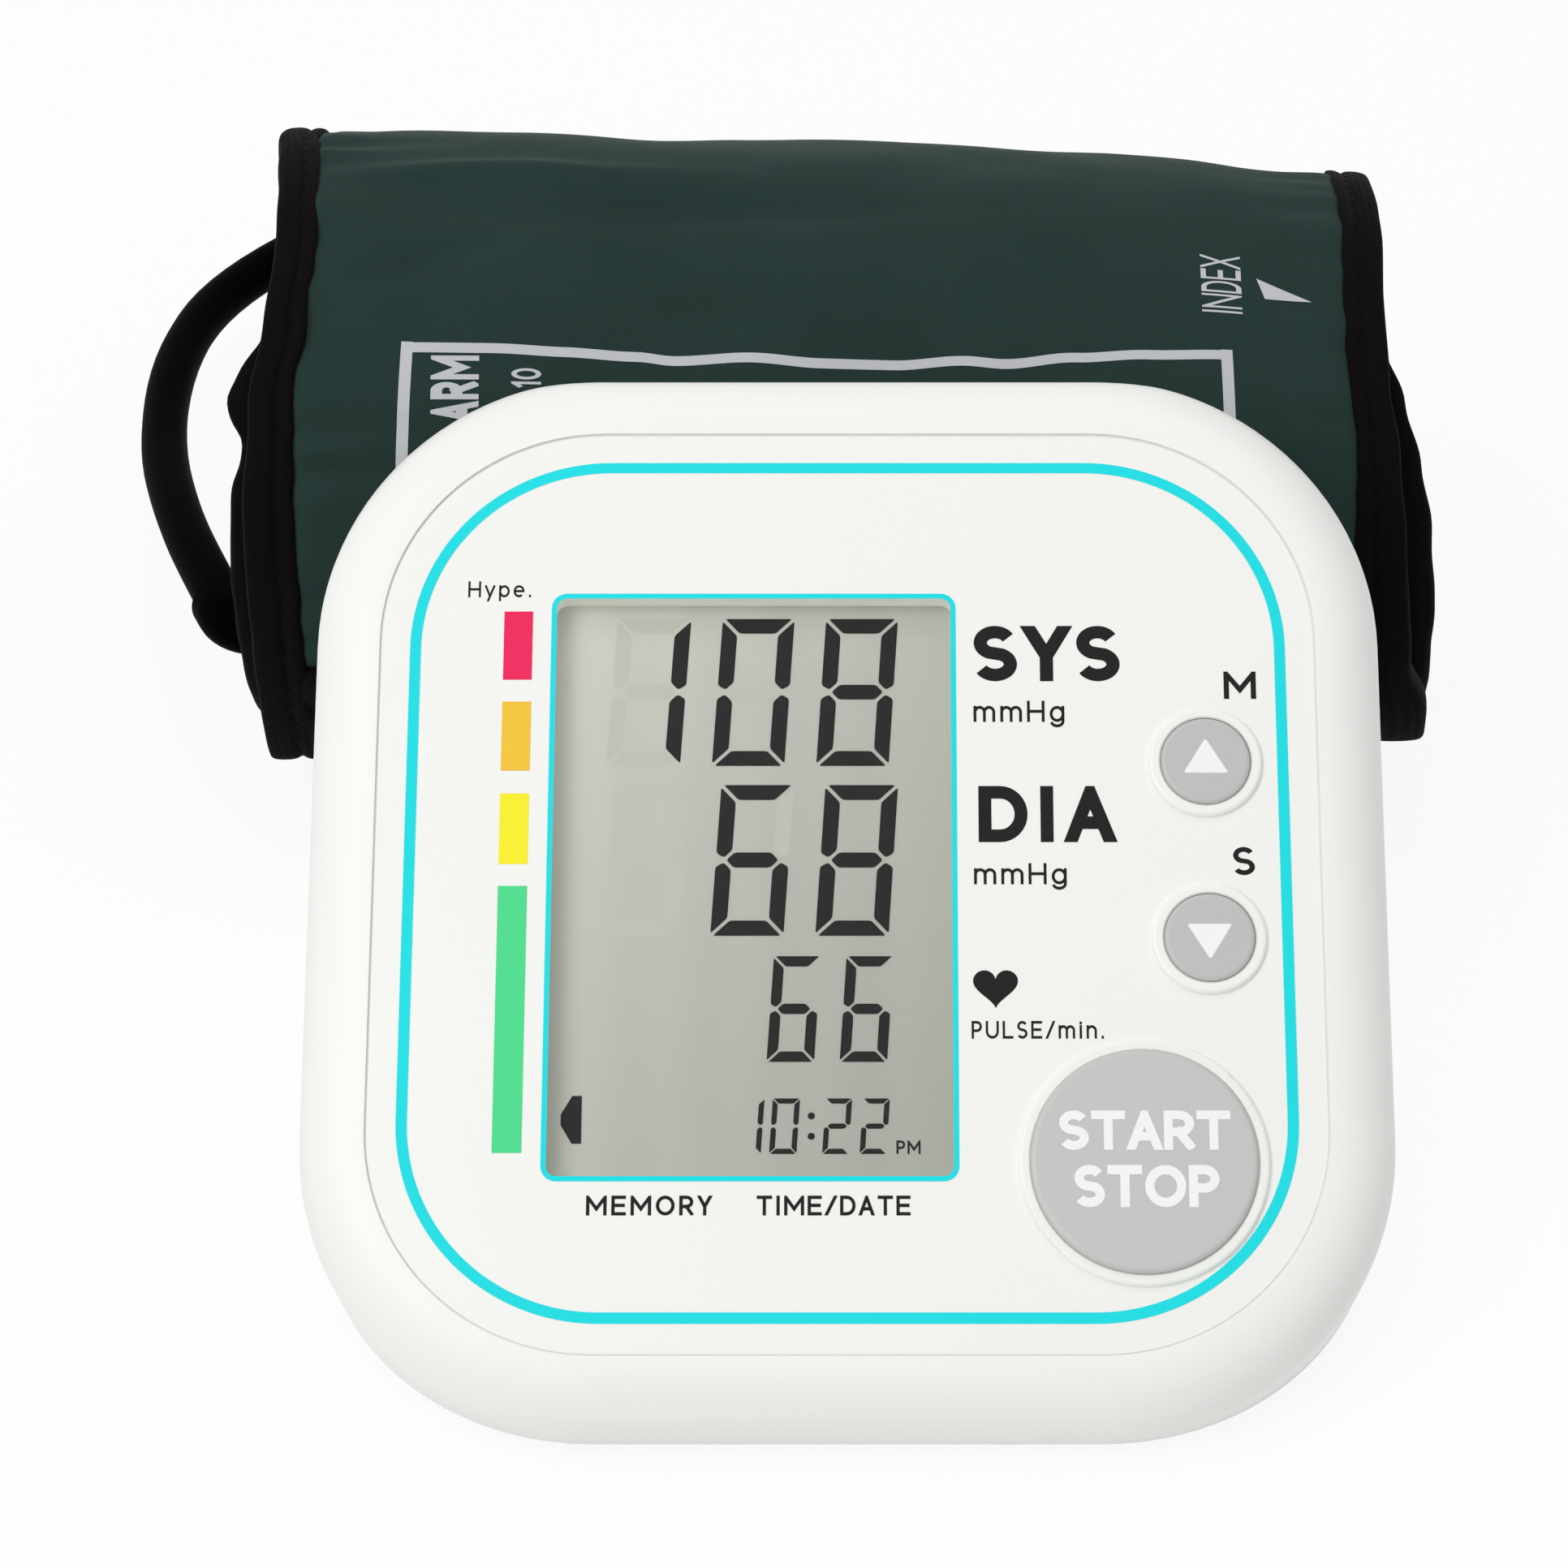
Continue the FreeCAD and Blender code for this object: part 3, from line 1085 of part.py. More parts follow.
def small_tubes():
    """Soft tubes pushed over the nozzles."""
    def sleeve(label, rod, *where, length):
        outside = rod(f"{label}_outside", *where, "tube_radius", length)
        inside = rod(f"{label}_inside", *where, "tube_bore", length)
        named(cut(label, outside, inside), label)

    pump_start = "manifold_y + manifold_width / 2 + tube_setback"
    sleeve("pump_tube", base_rod, "y", (MANIFOLD_X, pump_start, "manifold_height"), length="pump_tube_length")
    valve_start = f"{VALVE_RIGHT} + tube_setback"
    sleeve("valve_tube", base_rod, "x", (valve_start, "manifold_y", "manifold_height"),
           length="2 * nozzle_length + nozzle_space - 2 * tube_setback")
    high = f"(0 - {BOARD_BACK} - sensor_height - close_gap)"
    spot = (SENSOR_X, SENSOR_RISE)
    outside = face_rod("sensor_tube_outside", spot, "tube_radius", f"{high} - sensor_tube_length", high)
    inside = face_rod("sensor_tube_inside", spot, "tube_bore", f"{high} - sensor_tube_length", high)
    named(cut("sensor_tube", outside, inside), "sensor_tube")
    origin = Vector(mm("monitor_centre_x"), mm("monitor_centre_y"), 0)
    level = mm("socket_height")
    socket_end = value(f"socket_rim + tube_setback - {HALF_WIDTH} + socket_length - socket_rim")
    branch = value(BRANCH_X)
    block_top = mm("manifold_height") + mm("manifold_width") / 2 + mm("tube_setback")
    middle = (socket_end + branch) / 2
    route = [origin + Vector(x, y, z) for x, y, z in (
        (socket_end, mm("socket_y"), level),
        (middle, mm("socket_y"), level),
        (branch, mm("manifold_y"), level),
        (branch, mm("manifold_y"), block_top),
    )]
    path, radii = rounded_route(route, bend=mm("tube_bend"))
    shape = tube_along(path, mm("tube_radius")).cut(tube_along(path, mm("tube_bore")))
    named(solid("socket_tube", shape), "socket_tube")


# Air socket
def air_socket():
    """Socket for the hose's plug in the left wall, held by a nut inside."""
    def turned(name, left, radius, length):
        return base_rod(name, "x", (left, "socket_y", "socket_height"), radius, length)

    wall_face = f"(0 - {HALF_WIDTH})"
    back = f"({wall_face} + socket_length)"
    rim = turned("socket_flange", f"{wall_face} - socket_rim", "socket_rim_radius", "socket_rim")
    barrel = turned("socket_barrel", f"{wall_face} - overrun", "socket_radius", "socket_length + overrun")
    nipple = turned("socket_nipple", f"{back} - overrun", "nozzle_radius", "nozzle_length + overrun")
    bore = turned("socket_way", f"{wall_face} - socket_rim - overrun", "socket_bore",
                  "socket_bore_length + overrun")
    named(cut("air_socket", fuse("socket_parts", [rim, barrel, nipple]), bore), "air_socket")
    inner_face = f"{wall_face} + wall"
    ring = turned("nut_outside", inner_face, "nut_radius", "nut_thickness")
    hole = turned("nut_inside", inner_face, "socket_radius + close_gap", "nut_thickness")
    named(cut("socket_nut", ring, hole), "socket_nut")


# Rolled cuff: half turns about two centres, drawn in by half a wrap at each half turn
TAPER_SHARE = 0.05


def roll_step():
    return (mm("cuff_thickness") + mm("wrap_gap")) / 2


def roll_axis():
    """The roll's axis at the middle of the cuff: how far back, and how high."""
    back = mm("monitor_centre_y") + mm("back_depth") + mm("cuff_gap") + mm("roll_radius")
    lean = math.sin(math.radians(mm("joint_angle")))
    return back, mm("roll_radius") - roll_step() * (1 + lean)


def roll_joints():
    """Degrees of roll at which one half turn passes to the next."""
    first = mm("tail_angle") - mm("joint_angle")
    return [first + 180 * index for index in range(4)]


def inner_half_width():
    return mm("outer_half_width") + mm("inner_overhang")


def roll_point(x, depth, roll):
    """A point of the cuff: across it, below its outer face and along the roll from its free end."""
    turn = sum(roll > joint for joint in roll_joints())
    radius = mm("roll_radius") - turn * roll_step() - depth
    angle = math.radians(mm("tail_angle") - roll)
    lean = math.radians(mm("joint_angle"))
    shift = roll_step() if turn % 2 else 0
    axis_y, axis_z = roll_axis()
    scale = 1 - TAPER_SHARE * x / inner_half_width()
    y = shift * math.cos(lean) + radius * math.cos(angle)
    z = axis_z + shift * math.sin(lean) + radius * math.sin(angle)
    return Vector(x, axis_y + scale * y, scale * z)


def roll_stops(start, finish):
    """The roll cut at its joints and at the middle of each stretch, so every arc is a short one."""
    stops = [start] + [joint for joint in roll_joints() if start < joint < finish] + [finish]
    middles = [(one + other) / 2 for one, other in zip(stops, stops[1:])]
    return sorted(stops + middles)


def strip_wire(x, outside, inside, start, finish):
    """Outline of a layer of the cuff, cut square across at one place along the roll's axis."""
    stops = roll_stops(start, finish)
    edges = []
    for depth, other_depth, rolls in ((outside, inside, stops), (inside, outside, stops[::-1])):
        for here, there in zip(rolls, rolls[1:]):
            spots = [roll_point(x, depth, roll) for roll in (here, (here + there) / 2, there)]
            edges.append(Part.Arc(*spots).toShape())
        across = [roll_point(x, level, rolls[-1]) for level in (depth, other_depth)]
        edges.append(Part.LineSegment(*across).toShape())
    return Part.Wire(edges)


def strip(left, right, outside, inside, start, finish):
    """A layer of the cuff between two places across it, tapering with the roll."""
    wires = [strip_wire(x, outside, inside, start, finish) for x in (left, right)]
    return Part.makeLoft(wires, True, True)


def cuff():
    """Nylon cover and lining with a stiffener and the air bladder between them, bound at its edges."""
    skin, thick = mm("fabric_thickness"), mm("cuff_thickness")
    hem, wrap, head, end = (mm(f"{word}_angle") for word in ("tail_hem", "wrap", "head", "roll"))
    outer, inner = mm("outer_half_width"), inner_half_width()
    side = outer - mm("binding_width")
    named(solid("cuff_cover", strip(-side, side, 0, skin, hem, head)), "cuff_cover")
    named(solid("cuff_lining", strip(-side, side, thick - skin, thick, hem, head)), "cuff_lining")
    named(solid("cuff_stiffener", strip(-side, side, skin, thick - skin, hem, wrap)), "cuff_stiffener")
    named(solid("cuff_bladder", strip(-side, side, skin, thick - skin, wrap, head)), "cuff_bladder")
    for label, hand in (("left_binding", -1), ("right_binding", 1)):
        tail = strip(*sorted((hand * side, hand * outer)), 0, thick, 0, wrap)
        rest = strip(*sorted((hand * side, hand * inner)), 0, thick, wrap, end)
        named(solid(label, tail.fuse(rest)), label)
    hems = [strip(-side, side, 0, thick, 0, hem), strip(-side, side, 0, thick, head, end)]
    named(solid("end_hems", Part.makeCompound(hems)), "end_hems")
    patch = side - mm("patch_margin")
    under = thick + mm("patch_thickness")
    hook = strip(-patch, patch, thick, under, mm("patch_start_angle"), mm("patch_end_angle"))
    named(solid("hook_patch", hook), "hook_patch")


# Hose, with its elbow on the cuff, its coil, tie and plug
def hose():
    radius = mm("hose_radius")
    back = roll_axis()[0]
    edge = -inner_half_width()
    route = [Vector(edge + x, back + y, z) for x, y, z in HOSE_ROUTE]
    entry_height = radius + mm("coil_lift") + mm("coil_layer")
    entry = Vector(edge + mm("coil_entry"), back + mm("coil_entry_back"), entry_height)
    route += [entry - Vector(mm("coil_approach"), 0, 0), entry]
    roll = mm("tail_angle") - mm("port_angle") + 360
    inset, lining_depth = edge + mm("elbow_inset"), mm("cuff_thickness")
    foot = roll_point(inset, lining_depth - mm("elbow_bed"), roll)
    rise = roll_point(inset, lining_depth + mm("elbow_rise"), roll)
    corner = rise - Vector(mm("elbow_inset") + mm("elbow_reach"), 0, 0)
    aim = route[0] - corner
    aim.normalize()
    outlet = corner + aim * (mm("elbow_bend") + mm("elbow_lip"))
    bend, radii = rounded_route([foot, rise, corner, outlet], bend=mm("elbow_bend"))
    collar = Part.makeCylinder(mm("elbow_collar_radius"), mm("elbow_collar_length"), foot, rise - foot)
    fabric = [piece.Shape for piece in nodes if piece.Label in ("cuff_lining", "left_binding")]
    elbow = tube_along(bend, mm("elbow_radius")).fuse(collar).cut(fabric)
    print("elbow foot, rise, corner, outlet:", *(tuple(round(c, 2) for c in p) for p in (foot, rise, corner, outlet)))
    named(solid("hose_elbow", elbow), "hose_elbow")

    path, radii = rounded_route([outlet] + route)
    run = tube_along(path, radius)
    plain_volume = math.pi * radius * radius * path.Length
    print("hose bends, mm:", " ".join(f"{bend:.0f}" for bend in radii))
    print(f"hose run: {path.Length:.1f} mm, volume over section times length {run.Volume / plain_volume:.4f}")
    named(solid("hose_run", run), "hose_run")

    start = entry + Vector(2 * radius, 0, 0)
    layer = mm("coil_layer")
    outer, turns = mm("coil_radius"), mm("coil_turns")
    hub = start - Vector(0, outer, layer)

    def place(angle):
        """Down a layer in the half turn about the middle of the coil, where the winding turns outwards."""
        share = angle / turns
        draw = mm("coil_draw") * (1 - math.cos(2 * math.pi * share)) / 2
        fall = min(max((angle - turns / 2) * 2 + 0.5, 0), 1)
        drop = (1 - math.cos(math.pi * fall)) / 2
        spin = 2 * math.pi * angle
        reach = outer - draw
        return hub + Vector(reach * math.sin(spin), reach * math.cos(spin), layer * (1 - drop))

    winding = turning_wire(place, turns, 8, 2 * radius)
    print(f"hose coil: {winding.Length:.1f} mm, least gap to itself {self_gap(winding, radius):.2f} mm")
    named(solid("hose_coil", tube_along(winding, radius)), "hose_coil")

    room = radius + mm("tie_room")
    low = hub - Vector(0, outer - mm("coil_draw") / 2, 0)
    named(solid("hose_tie", tie_band(low, room, layer)), "hose_tie")

    end = hub + Vector(2 * radius, outer, 0)
    ahead = Vector(1, 0, 0)
    grip = Part.makeCylinder(mm("plug_radius"), mm("plug_length"), end, ahead)
    shoulder = end + ahead * mm("plug_length")
    collar = Part.makeCylinder(mm("plug_collar_radius"), mm("plug_collar"), shoulder, ahead)
    step = shoulder + ahead * mm("plug_collar")
    nose = Part.makeCylinder(mm("nose_radius"), mm("nose_length"), step, ahead)
    named(solid("air_plug", grip.fuse([collar, nose])), "air_plug")


def tie_band(low, room, layer):
    """Strap round the two stacked turns at the front of the coil."""
    bands = []
    for reach in (room + mm("tie_thickness"), room):
        left = low - Vector(mm("tie_width") / 2, 0, 0)
        ring = [(reach, 0), (reach, layer), (0, layer + reach), (-reach, layer), (-reach, 0), (0, -reach)]
        spots = [left + Vector(0, y, z) for y, z in ring]
        edges = [Part.LineSegment(spots[0], spots[1]).toShape(), Part.Arc(*spots[1:4]).toShape(),
                 Part.LineSegment(spots[3], spots[4]).toShape(),
                 Part.Arc(spots[4], spots[5], spots[0]).toShape()]
        bands.append(Part.Face(Part.Wire(edges)).extrude(Vector(mm("tie_width"), 0, 0)))
    return bands[0].cut(bands[1])


def check_document():
    """Stop unless every object came out whole."""
    for piece in doc.Objects:
        faults = {"Invalid", "Error"} & set(piece.State)
        if faults:
            raise RuntimeError(f"{piece.Label}: {', '.join(sorted(faults))}")
    for piece in nodes:
        if piece.Shape.isNull() or not piece.Shape.isValid():
            raise RuntimeError(f"{piece.Label}: its shape is not a valid solid")


def write_parts():
    os.makedirs("parts", exist_ok=True)
    for piece in nodes:
        piece.Shape.exportStep(f"parts/{piece.Label}.step")
    print(f"{len(nodes)} sub-parts written")


fill_sheet()
outside_hull = hull("outside", "0", "bezel_rise", "bezel_round", "back_round")
inside_hull = hull("inside", "wall", f"(0 - {WALL_BACK})", "inner_round", "inner_back_round")
housing = cut("housing", outside_hull, inside_hull)
front_shell(housing)
rear_shell(housing)
face_panel()
display_lens()
lcd_stack()
main_board()
tact_switches()
for spec in BUTTONS:
    button(*spec)
batteries()
battery_door()
feet_and_screws()
pump()
valve()
manifold()
small_tubes()
air_socket()
cuff()
hose()
doc.recompute()
check_document()
write_parts()
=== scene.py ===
import json
import math

import bmesh
import bpy
from mathutils import Matrix, Vector, noise
from mathutils.bvhtree import BVHTree

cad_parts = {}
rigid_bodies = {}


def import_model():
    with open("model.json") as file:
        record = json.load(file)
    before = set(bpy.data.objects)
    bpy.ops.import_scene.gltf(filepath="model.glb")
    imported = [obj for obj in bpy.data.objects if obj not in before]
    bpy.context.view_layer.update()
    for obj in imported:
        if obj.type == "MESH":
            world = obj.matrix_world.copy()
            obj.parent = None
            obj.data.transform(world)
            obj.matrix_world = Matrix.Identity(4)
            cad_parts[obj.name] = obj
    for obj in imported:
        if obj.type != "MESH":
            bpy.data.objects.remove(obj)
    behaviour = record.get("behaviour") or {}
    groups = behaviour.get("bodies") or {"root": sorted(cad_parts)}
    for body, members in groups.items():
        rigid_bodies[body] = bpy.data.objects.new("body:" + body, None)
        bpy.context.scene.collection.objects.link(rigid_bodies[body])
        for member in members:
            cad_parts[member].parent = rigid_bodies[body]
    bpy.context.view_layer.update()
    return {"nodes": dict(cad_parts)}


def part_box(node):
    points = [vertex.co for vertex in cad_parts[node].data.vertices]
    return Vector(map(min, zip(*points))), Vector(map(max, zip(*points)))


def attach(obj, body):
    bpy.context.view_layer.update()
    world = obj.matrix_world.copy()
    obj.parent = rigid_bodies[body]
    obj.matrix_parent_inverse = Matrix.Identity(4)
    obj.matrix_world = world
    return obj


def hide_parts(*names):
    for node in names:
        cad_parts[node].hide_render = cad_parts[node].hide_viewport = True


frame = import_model()

# The studio: a wide sheet of white paper under a white sky, with soft lamps above and to the left.
# The paper shows as plain white ground and keeps the soft shadow under the object.
MM = 0.001
# Texture scales that make noise or waves repeat about every millimetre
NOISE, WAVE = 1000, 314
scene = bpy.context.scene


def srgb(code):
    """An sRGB hex colour as the linear colour that shaders read."""
    parts = [int(code[i:i + 2], 16) / 255 for i in (1, 3, 5)]
    return [p / 12.92 if p <= 0.04045 else ((p + 0.055) / 1.055) ** 2.4 for p in parts] + [1.0]


def add(tree, kind, inputs=(), **settings):
    """A shader node. Each input, by name or in order, is a value, a socket, or a node's first output."""
    node = tree.nodes.new("ShaderNode" + kind)
    for name, setting in settings.items():
        setattr(node, name, setting)
    for name, source in inputs.items() if isinstance(inputs, dict) else enumerate(inputs):
        if isinstance(source, bpy.types.Node):
            source = next(output for output in source.outputs if output.enabled)
        if isinstance(source, bpy.types.NodeSocket):
            tree.links.new(source, node.inputs[name])
        else:
            node.inputs[name].default_value = source
    return node


def new_material(name, cloth=False):
    """A bare material: its node tree, the places on its surface or its cloth map, and the material itself."""
    material = bpy.data.materials.new(name)
    material.use_nodes = True
    tree = material.node_tree
    tree.nodes.clear()
    spots = add(tree, "UVMap", uv_map="cloth") if cloth else add(tree, "TexCoord").outputs["Object"]
    return tree, spots, material


def coat(tree, inputs):
    """End a material in one plain surface."""
    surface = add(tree, "BsdfPrincipled", inputs)
    add(tree, "OutputMaterial", {"Surface": surface})


def put(name, data):
    """A new object at the origin."""
    made = bpy.data.objects.new(name, data)
    scene.collection.objects.link(made)
    return made


def piece(name, bm, material, smooth=False):
    """A new object from a finished bmesh."""
    mesh = bpy.data.meshes.new(name)
    bm.to_mesh(mesh)
    bm.free()
    mesh.materials.append(material)
    for polygon in mesh.polygons:
        polygon.use_smooth = smooth
    return put(name, mesh)


def shows_ground(tree):
    """1 on the rays that show the bare ground: to the eye, in a reflection, or through clear plastic."""
    path = add(tree, "LightPath").outputs
    plain = add(tree, "Math", (path["Is Camera Ray"], path["Is Glossy Ray"]), operation="MAXIMUM")
    return add(tree, "Math", (plain, path["Is Transmission Ray"]), operation="MAXIMUM")


# Paper is matt and white, with the faint clouds of its pulp
tree, spots, studio_paper = new_material("matt_white_paper")
pulp = add(tree, "TexNoise", {"Vector": spots, "Scale": NOISE / 60})
shade = add(tree, "Mix", {"Factor": pulp, "A": srgb("#F3F3F3"), "B": srgb("#F6F6F6")}, data_type="RGBA")
paper = add(tree, "BsdfDiffuse", {"Color": shade})
glow = add(tree, "Emission")
glow_share = add(tree, "Math", (shows_ground(tree), 0.9), operation="MULTIPLY")
blend = add(tree, "MixShader", (glow_share, paper, glow))
add(tree, "OutputMaterial", {"Surface": blend})
bm = bmesh.new()
bmesh.ops.create_grid(bm, x_segments=1, y_segments=1, size=4.0)
floor = piece("studio_floor", bm, studio_paper)

world = bpy.data.worlds.new("studio")
scene.world = world
world.use_nodes = True
tree = world.node_tree
tree.nodes.clear()
around = add(tree, "Background", {"Color": srgb("#FFFFFF"), "Strength": 0.51})
ground = add(tree, "Background", {"Color": srgb("#FFFFFF")})
blend = add(tree, "MixShader", (shows_ground(tree), around, ground))
add(tree, "OutputWorld", {"Surface": blend})


def soft_box(name, place, target, width, power):
    """A square studio lamp that faces a point."""
    lamp = bpy.data.lights.new(name, "AREA")
    lamp.shape = "SQUARE"
    lamp.size = width
    lamp.energy = power
    made = put(name, lamp)
    made.location = place
    made.rotation_euler = (Vector(target) - Vector(place)).to_track_quat("-Z", "Y").to_euler()


soft_box("key_light", (-0.62, -0.64, 1.02), (0, 0, 0.03), 0.8, 7.2)
soft_box("top_light", (0.12, 0.22, 1.1), (0, 0, 0.03), 0.7, 2.1)

# The camera that fits the photo looks down on the face, and the photo is cut off centre
PHOTO_WIDTH, PHOTO_MIDDLE, LENS_MIDDLE = 1932, 966, 1051
LOOK_DOWN = 37.5
camera = put("camera", bpy.data.cameras.new("camera"))
camera.location = (3.25 * MM, -465.46 * MM, 380.2 * MM)
camera.rotation_euler = (math.radians(90 - LOOK_DOWN), 0, 0)
camera.data.sensor_width = 36
camera.data.lens = 105.3
camera.data.shift_x = (PHOTO_MIDDLE - LENS_MIDDLE) / PHOTO_WIDTH
camera.data.clip_start = 0.01
camera.data.clip_end = 50
scene.camera = camera
scene.view_settings.view_transform = "Standard"

# The housing: two shells and a battery door, injection moulded in white ABS and screwed together from below.
# Fine spark-eroded texture from the mould gives a satin sheen with no sharp reflections.
nodes = frame["nodes"]


def paint(material, *names):
    """Give CAD pieces a finish."""
    for name in names:
        nodes[name].data.materials.clear()
        nodes[name].data.materials.append(material)


def moulded(name, colour, roughness, grain_mm, depth, mottle=0.02, gloss=0.5):
    """Moulded plastic or rubber: one colour with a faint mottle, and the fine grain of its mould."""
    tree, spots, material = new_material(name)
    grain = add(tree, "TexNoise", {"Vector": spots, "Scale": NOISE / grain_mm})
    cloud = add(tree, "TexNoise", {"Vector": spots, "Scale": NOISE / 40, "Detail": 1.0})
    level = add(tree, "MapRange", {"Value": cloud, "To Min": 1 - mottle, "To Max": 1 + mottle})
    shade = add(tree, "HueSaturation", {"Color": srgb(colour), "Value": level})
    polish = add(tree, "MapRange", {"Value": grain, "To Min": roughness - 0.05, "To Max": roughness + 0.05})
    relief = add(tree, "Bump", {"Height": grain, "Strength": 0.6, "Distance": depth * MM})
    coat(tree, {"Base Color": shade, "Roughness": polish, "Specular IOR Level": gloss, "Normal": relief})
    return material


# Satin white ABS: even colour, broad soft highlights
white_abs = moulded("white_moulded_abs", "#F4F4F1", 0.42, 0.5, 0.006, 0.006, 0.4)
paint(white_abs, "front_shell", "rear_shell", "battery_door")

# Case screws and feet: zinc-plated screws in the posts under the housing, and four soft pads pressed into it.
# Steel shows fine turning streaks; the pads are matt grey rubber.


def metal(name, colour, roughness, streak_mm, stretch):
    """Bare or plated metal: faint clouds in its colour, and streaks in its polish along one way."""
    tree, spots, material = new_material(name)
    drawn = add(tree, "Mapping", {"Vector": spots, "Scale": stretch})
    streaks = add(tree, "TexNoise", {"Vector": drawn, "Scale": NOISE / streak_mm, "Detail": 3.0})
    cloud = add(tree, "TexNoise", {"Vector": spots, "Scale": NOISE / 6, "Detail": 1.0})
    level = add(tree, "MapRange", {"Value": cloud, "To Min": 0.9, "To Max": 1.1})
    shade = add(tree, "HueSaturation", {"Color": srgb(colour), "Value": level})
    polish = add(tree, "MapRange", {"Value": streaks, "To Min": roughness - 0.1, "To Max": roughness + 0.1})
    relief = add(tree, "Bump", {"Height": streaks, "Strength": 0.3, "Distance": 0.02 * MM})
    coat(tree, {"Base Color": shade, "Metallic": 1.0, "Roughness": polish, "Normal": relief})
    return material


paint(metal("zinc_plated_steel", "#C3C6C8", 0.34, 0.5, (1, 1, 0.2)), "case_screws", "board_screws")
# Matt grey rubber: dull, with a fine dusty mottle
paint(moulded("grey_moulded_rubber", "#8C8E8E", 0.7, 0.6, 0.04, 0.06, 0.3), "rubber_feet")

# The batteries: four cells in a bay under the housing, held between nickel-plated plates and coil springs.
# Each cell has a plain printed sleeve round a bare steel can, whose ends show.
tree, spots, cell_sleeve = new_material("printed_cell_sleeve")
SLEEVE_HALF, DARK_HALF = 20.6 * MM, 13.0 * MM
low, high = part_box("battery_cells")
along = add(tree, "SeparateXYZ", {"Vector": spots}).outputs["X"]
off_middle = add(tree, "Math", (along, (low[0] + high[0]) / 2), operation="SUBTRACT")
far = add(tree, "Math", (off_middle,), operation="ABSOLUTE")
bare = add(tree, "Math", (far, SLEEVE_HALF), operation="GREATER_THAN")
band = add(tree, "Math", (far, DARK_HALF), operation="GREATER_THAN")
scuffs = add(tree, "TexNoise", {"Vector": spots, "Scale": NOISE / 1.5, "Detail": 3.0})
printed = add(tree, "Mix", {"Factor": band, "A": srgb("#2A2D34"), "B": srgb("#9FA6AE")}, data_type="RGBA")
shade = add(tree, "Mix", {"Factor": bare, "A": printed, "B": srgb("#C9CBCC")}, data_type="RGBA")
polish = add(tree, "MapRange", {"Value": scuffs, "To Min": 0.25, "To Max": 0.42})
coat(tree, {"Base Color": shade, "Metallic": bare, "Roughness": polish})
paint(cell_sleeve, "battery_cells")
paint(metal("nickel_plated_steel", "#D3CFC6", 0.24, 0.8, (1, 0.2, 1)), "battery_plates", "battery_springs")

# The face panel: a glossier white plate inset in the front shell, with a raised collar round each button.
# Its ring line, bars and words are screen printed, and a bead of adhesive closes the seam round it.
FACE_TILT = math.radians(35)
FACE = Matrix.Translation((2.6 * MM, -49.46 * MM, 46.8 * MM)) @ Matrix.Rotation(FACE_TILT, 4, "X")
WINDOW_MIDDLE = (-11.1, -0.1)
INK_LIFT = 0.03

# Gloss white ABS: clean, with soft reflections
panel_white = moulded("white_gloss_abs", "#F4F5F1", 0.3, 0.8, 0.0006, 0.006, 0.4)
paint(panel_white, "face_panel")


def ink(name, colour):
    """Screen ink: a thin opaque satin film, dull beside the plastic."""
    return moulded(name, colour, 0.5, 0.3, 0.004, 0.02, 0.12)


def on_face(name, bm, lift, material, body="monitor", slot="panel_white"):
    """Lay a flat mesh drawn in millimetres on the face, as high above it as told."""
    place = FACE @ Matrix.Translation((0, 0, lift * MM)) @ Matrix.Scale(MM, 4)
    bmesh.ops.transform(bm, matrix=place, verts=bm.verts)
    made = piece(name, bm, material)
    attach(made, body)


def resize(bm, scale, shift):
    """Scale a whole bmesh about the origin, then move it."""
    bmesh.ops.scale(bm, vec=scale, verts=bm.verts)
    bmesh.ops.translate(bm, vec=shift, verts=bm.verts)


def facet(bm, corners):
    """A flat face with these corners, and its vertices."""
    verts = [bm.verts.new((x, y, 0)) for x, y in corners]
    bm.faces.new(verts)
    return verts


def round_corners(bm, corners, radius, segments):
    """Round the corners of a flat shape."""
    bmesh.ops.bevel(bm, geom=corners, offset=radius, offset_type="OFFSET", segments=segments, profile=0.5,
                    affect="VERTICES", material=-1)


def rounded_sheet(width, height, corner, segments, middle):
    """A flat rectangle with round corners."""
    bm = bmesh.new()
    bmesh.ops.create_grid(bm, x_segments=1, y_segments=1, size=0.5)
    resize(bm, (width, height, 1), (*middle, 0))
    if corner:
        round_corners(bm, bm.verts[:], corner, segments)
    return bm


def ring_line(width, height, corner, line, segments, middle):
    """The outline of a round-cornered rectangle, drawn inwards from its outer edge."""
    bm = rounded_sheet(width, height, corner, segments, middle)
    sheet_face = bm.faces[:]
    bmesh.ops.inset_region(bm, faces=sheet_face, thickness=line, use_boundary=True, use_even_offset=True)
    bmesh.ops.delete(bm, geom=sheet_face, context="FACES")
    return bm


seam_bead = moulded("pale_grey_adhesive", "#E3E4E0", 0.6, 0.4, 0.004, 0.02, 0.2)
bead = ring_line(110.5, 111.5, 26.25, 0.27, 32, (0, 0))
on_face("panel_seam_bead", bead, -0.1, seam_bead)

cyan_ink = ink("cyan_screen_ink", "#1FE0E6")
ring = ring_line(103.3, 104.1, 23.45, 1.3, 32, (0, 0))
on_face("cyan_ring", ring, INK_LIFT, cyan_ink)
window_line = ring_line(47.8, 71.1, 1.8, 0.62, 8, WINDOW_MIDDLE)
on_face("cyan_window_line", window_line, INK_LIFT, cyan_ink)

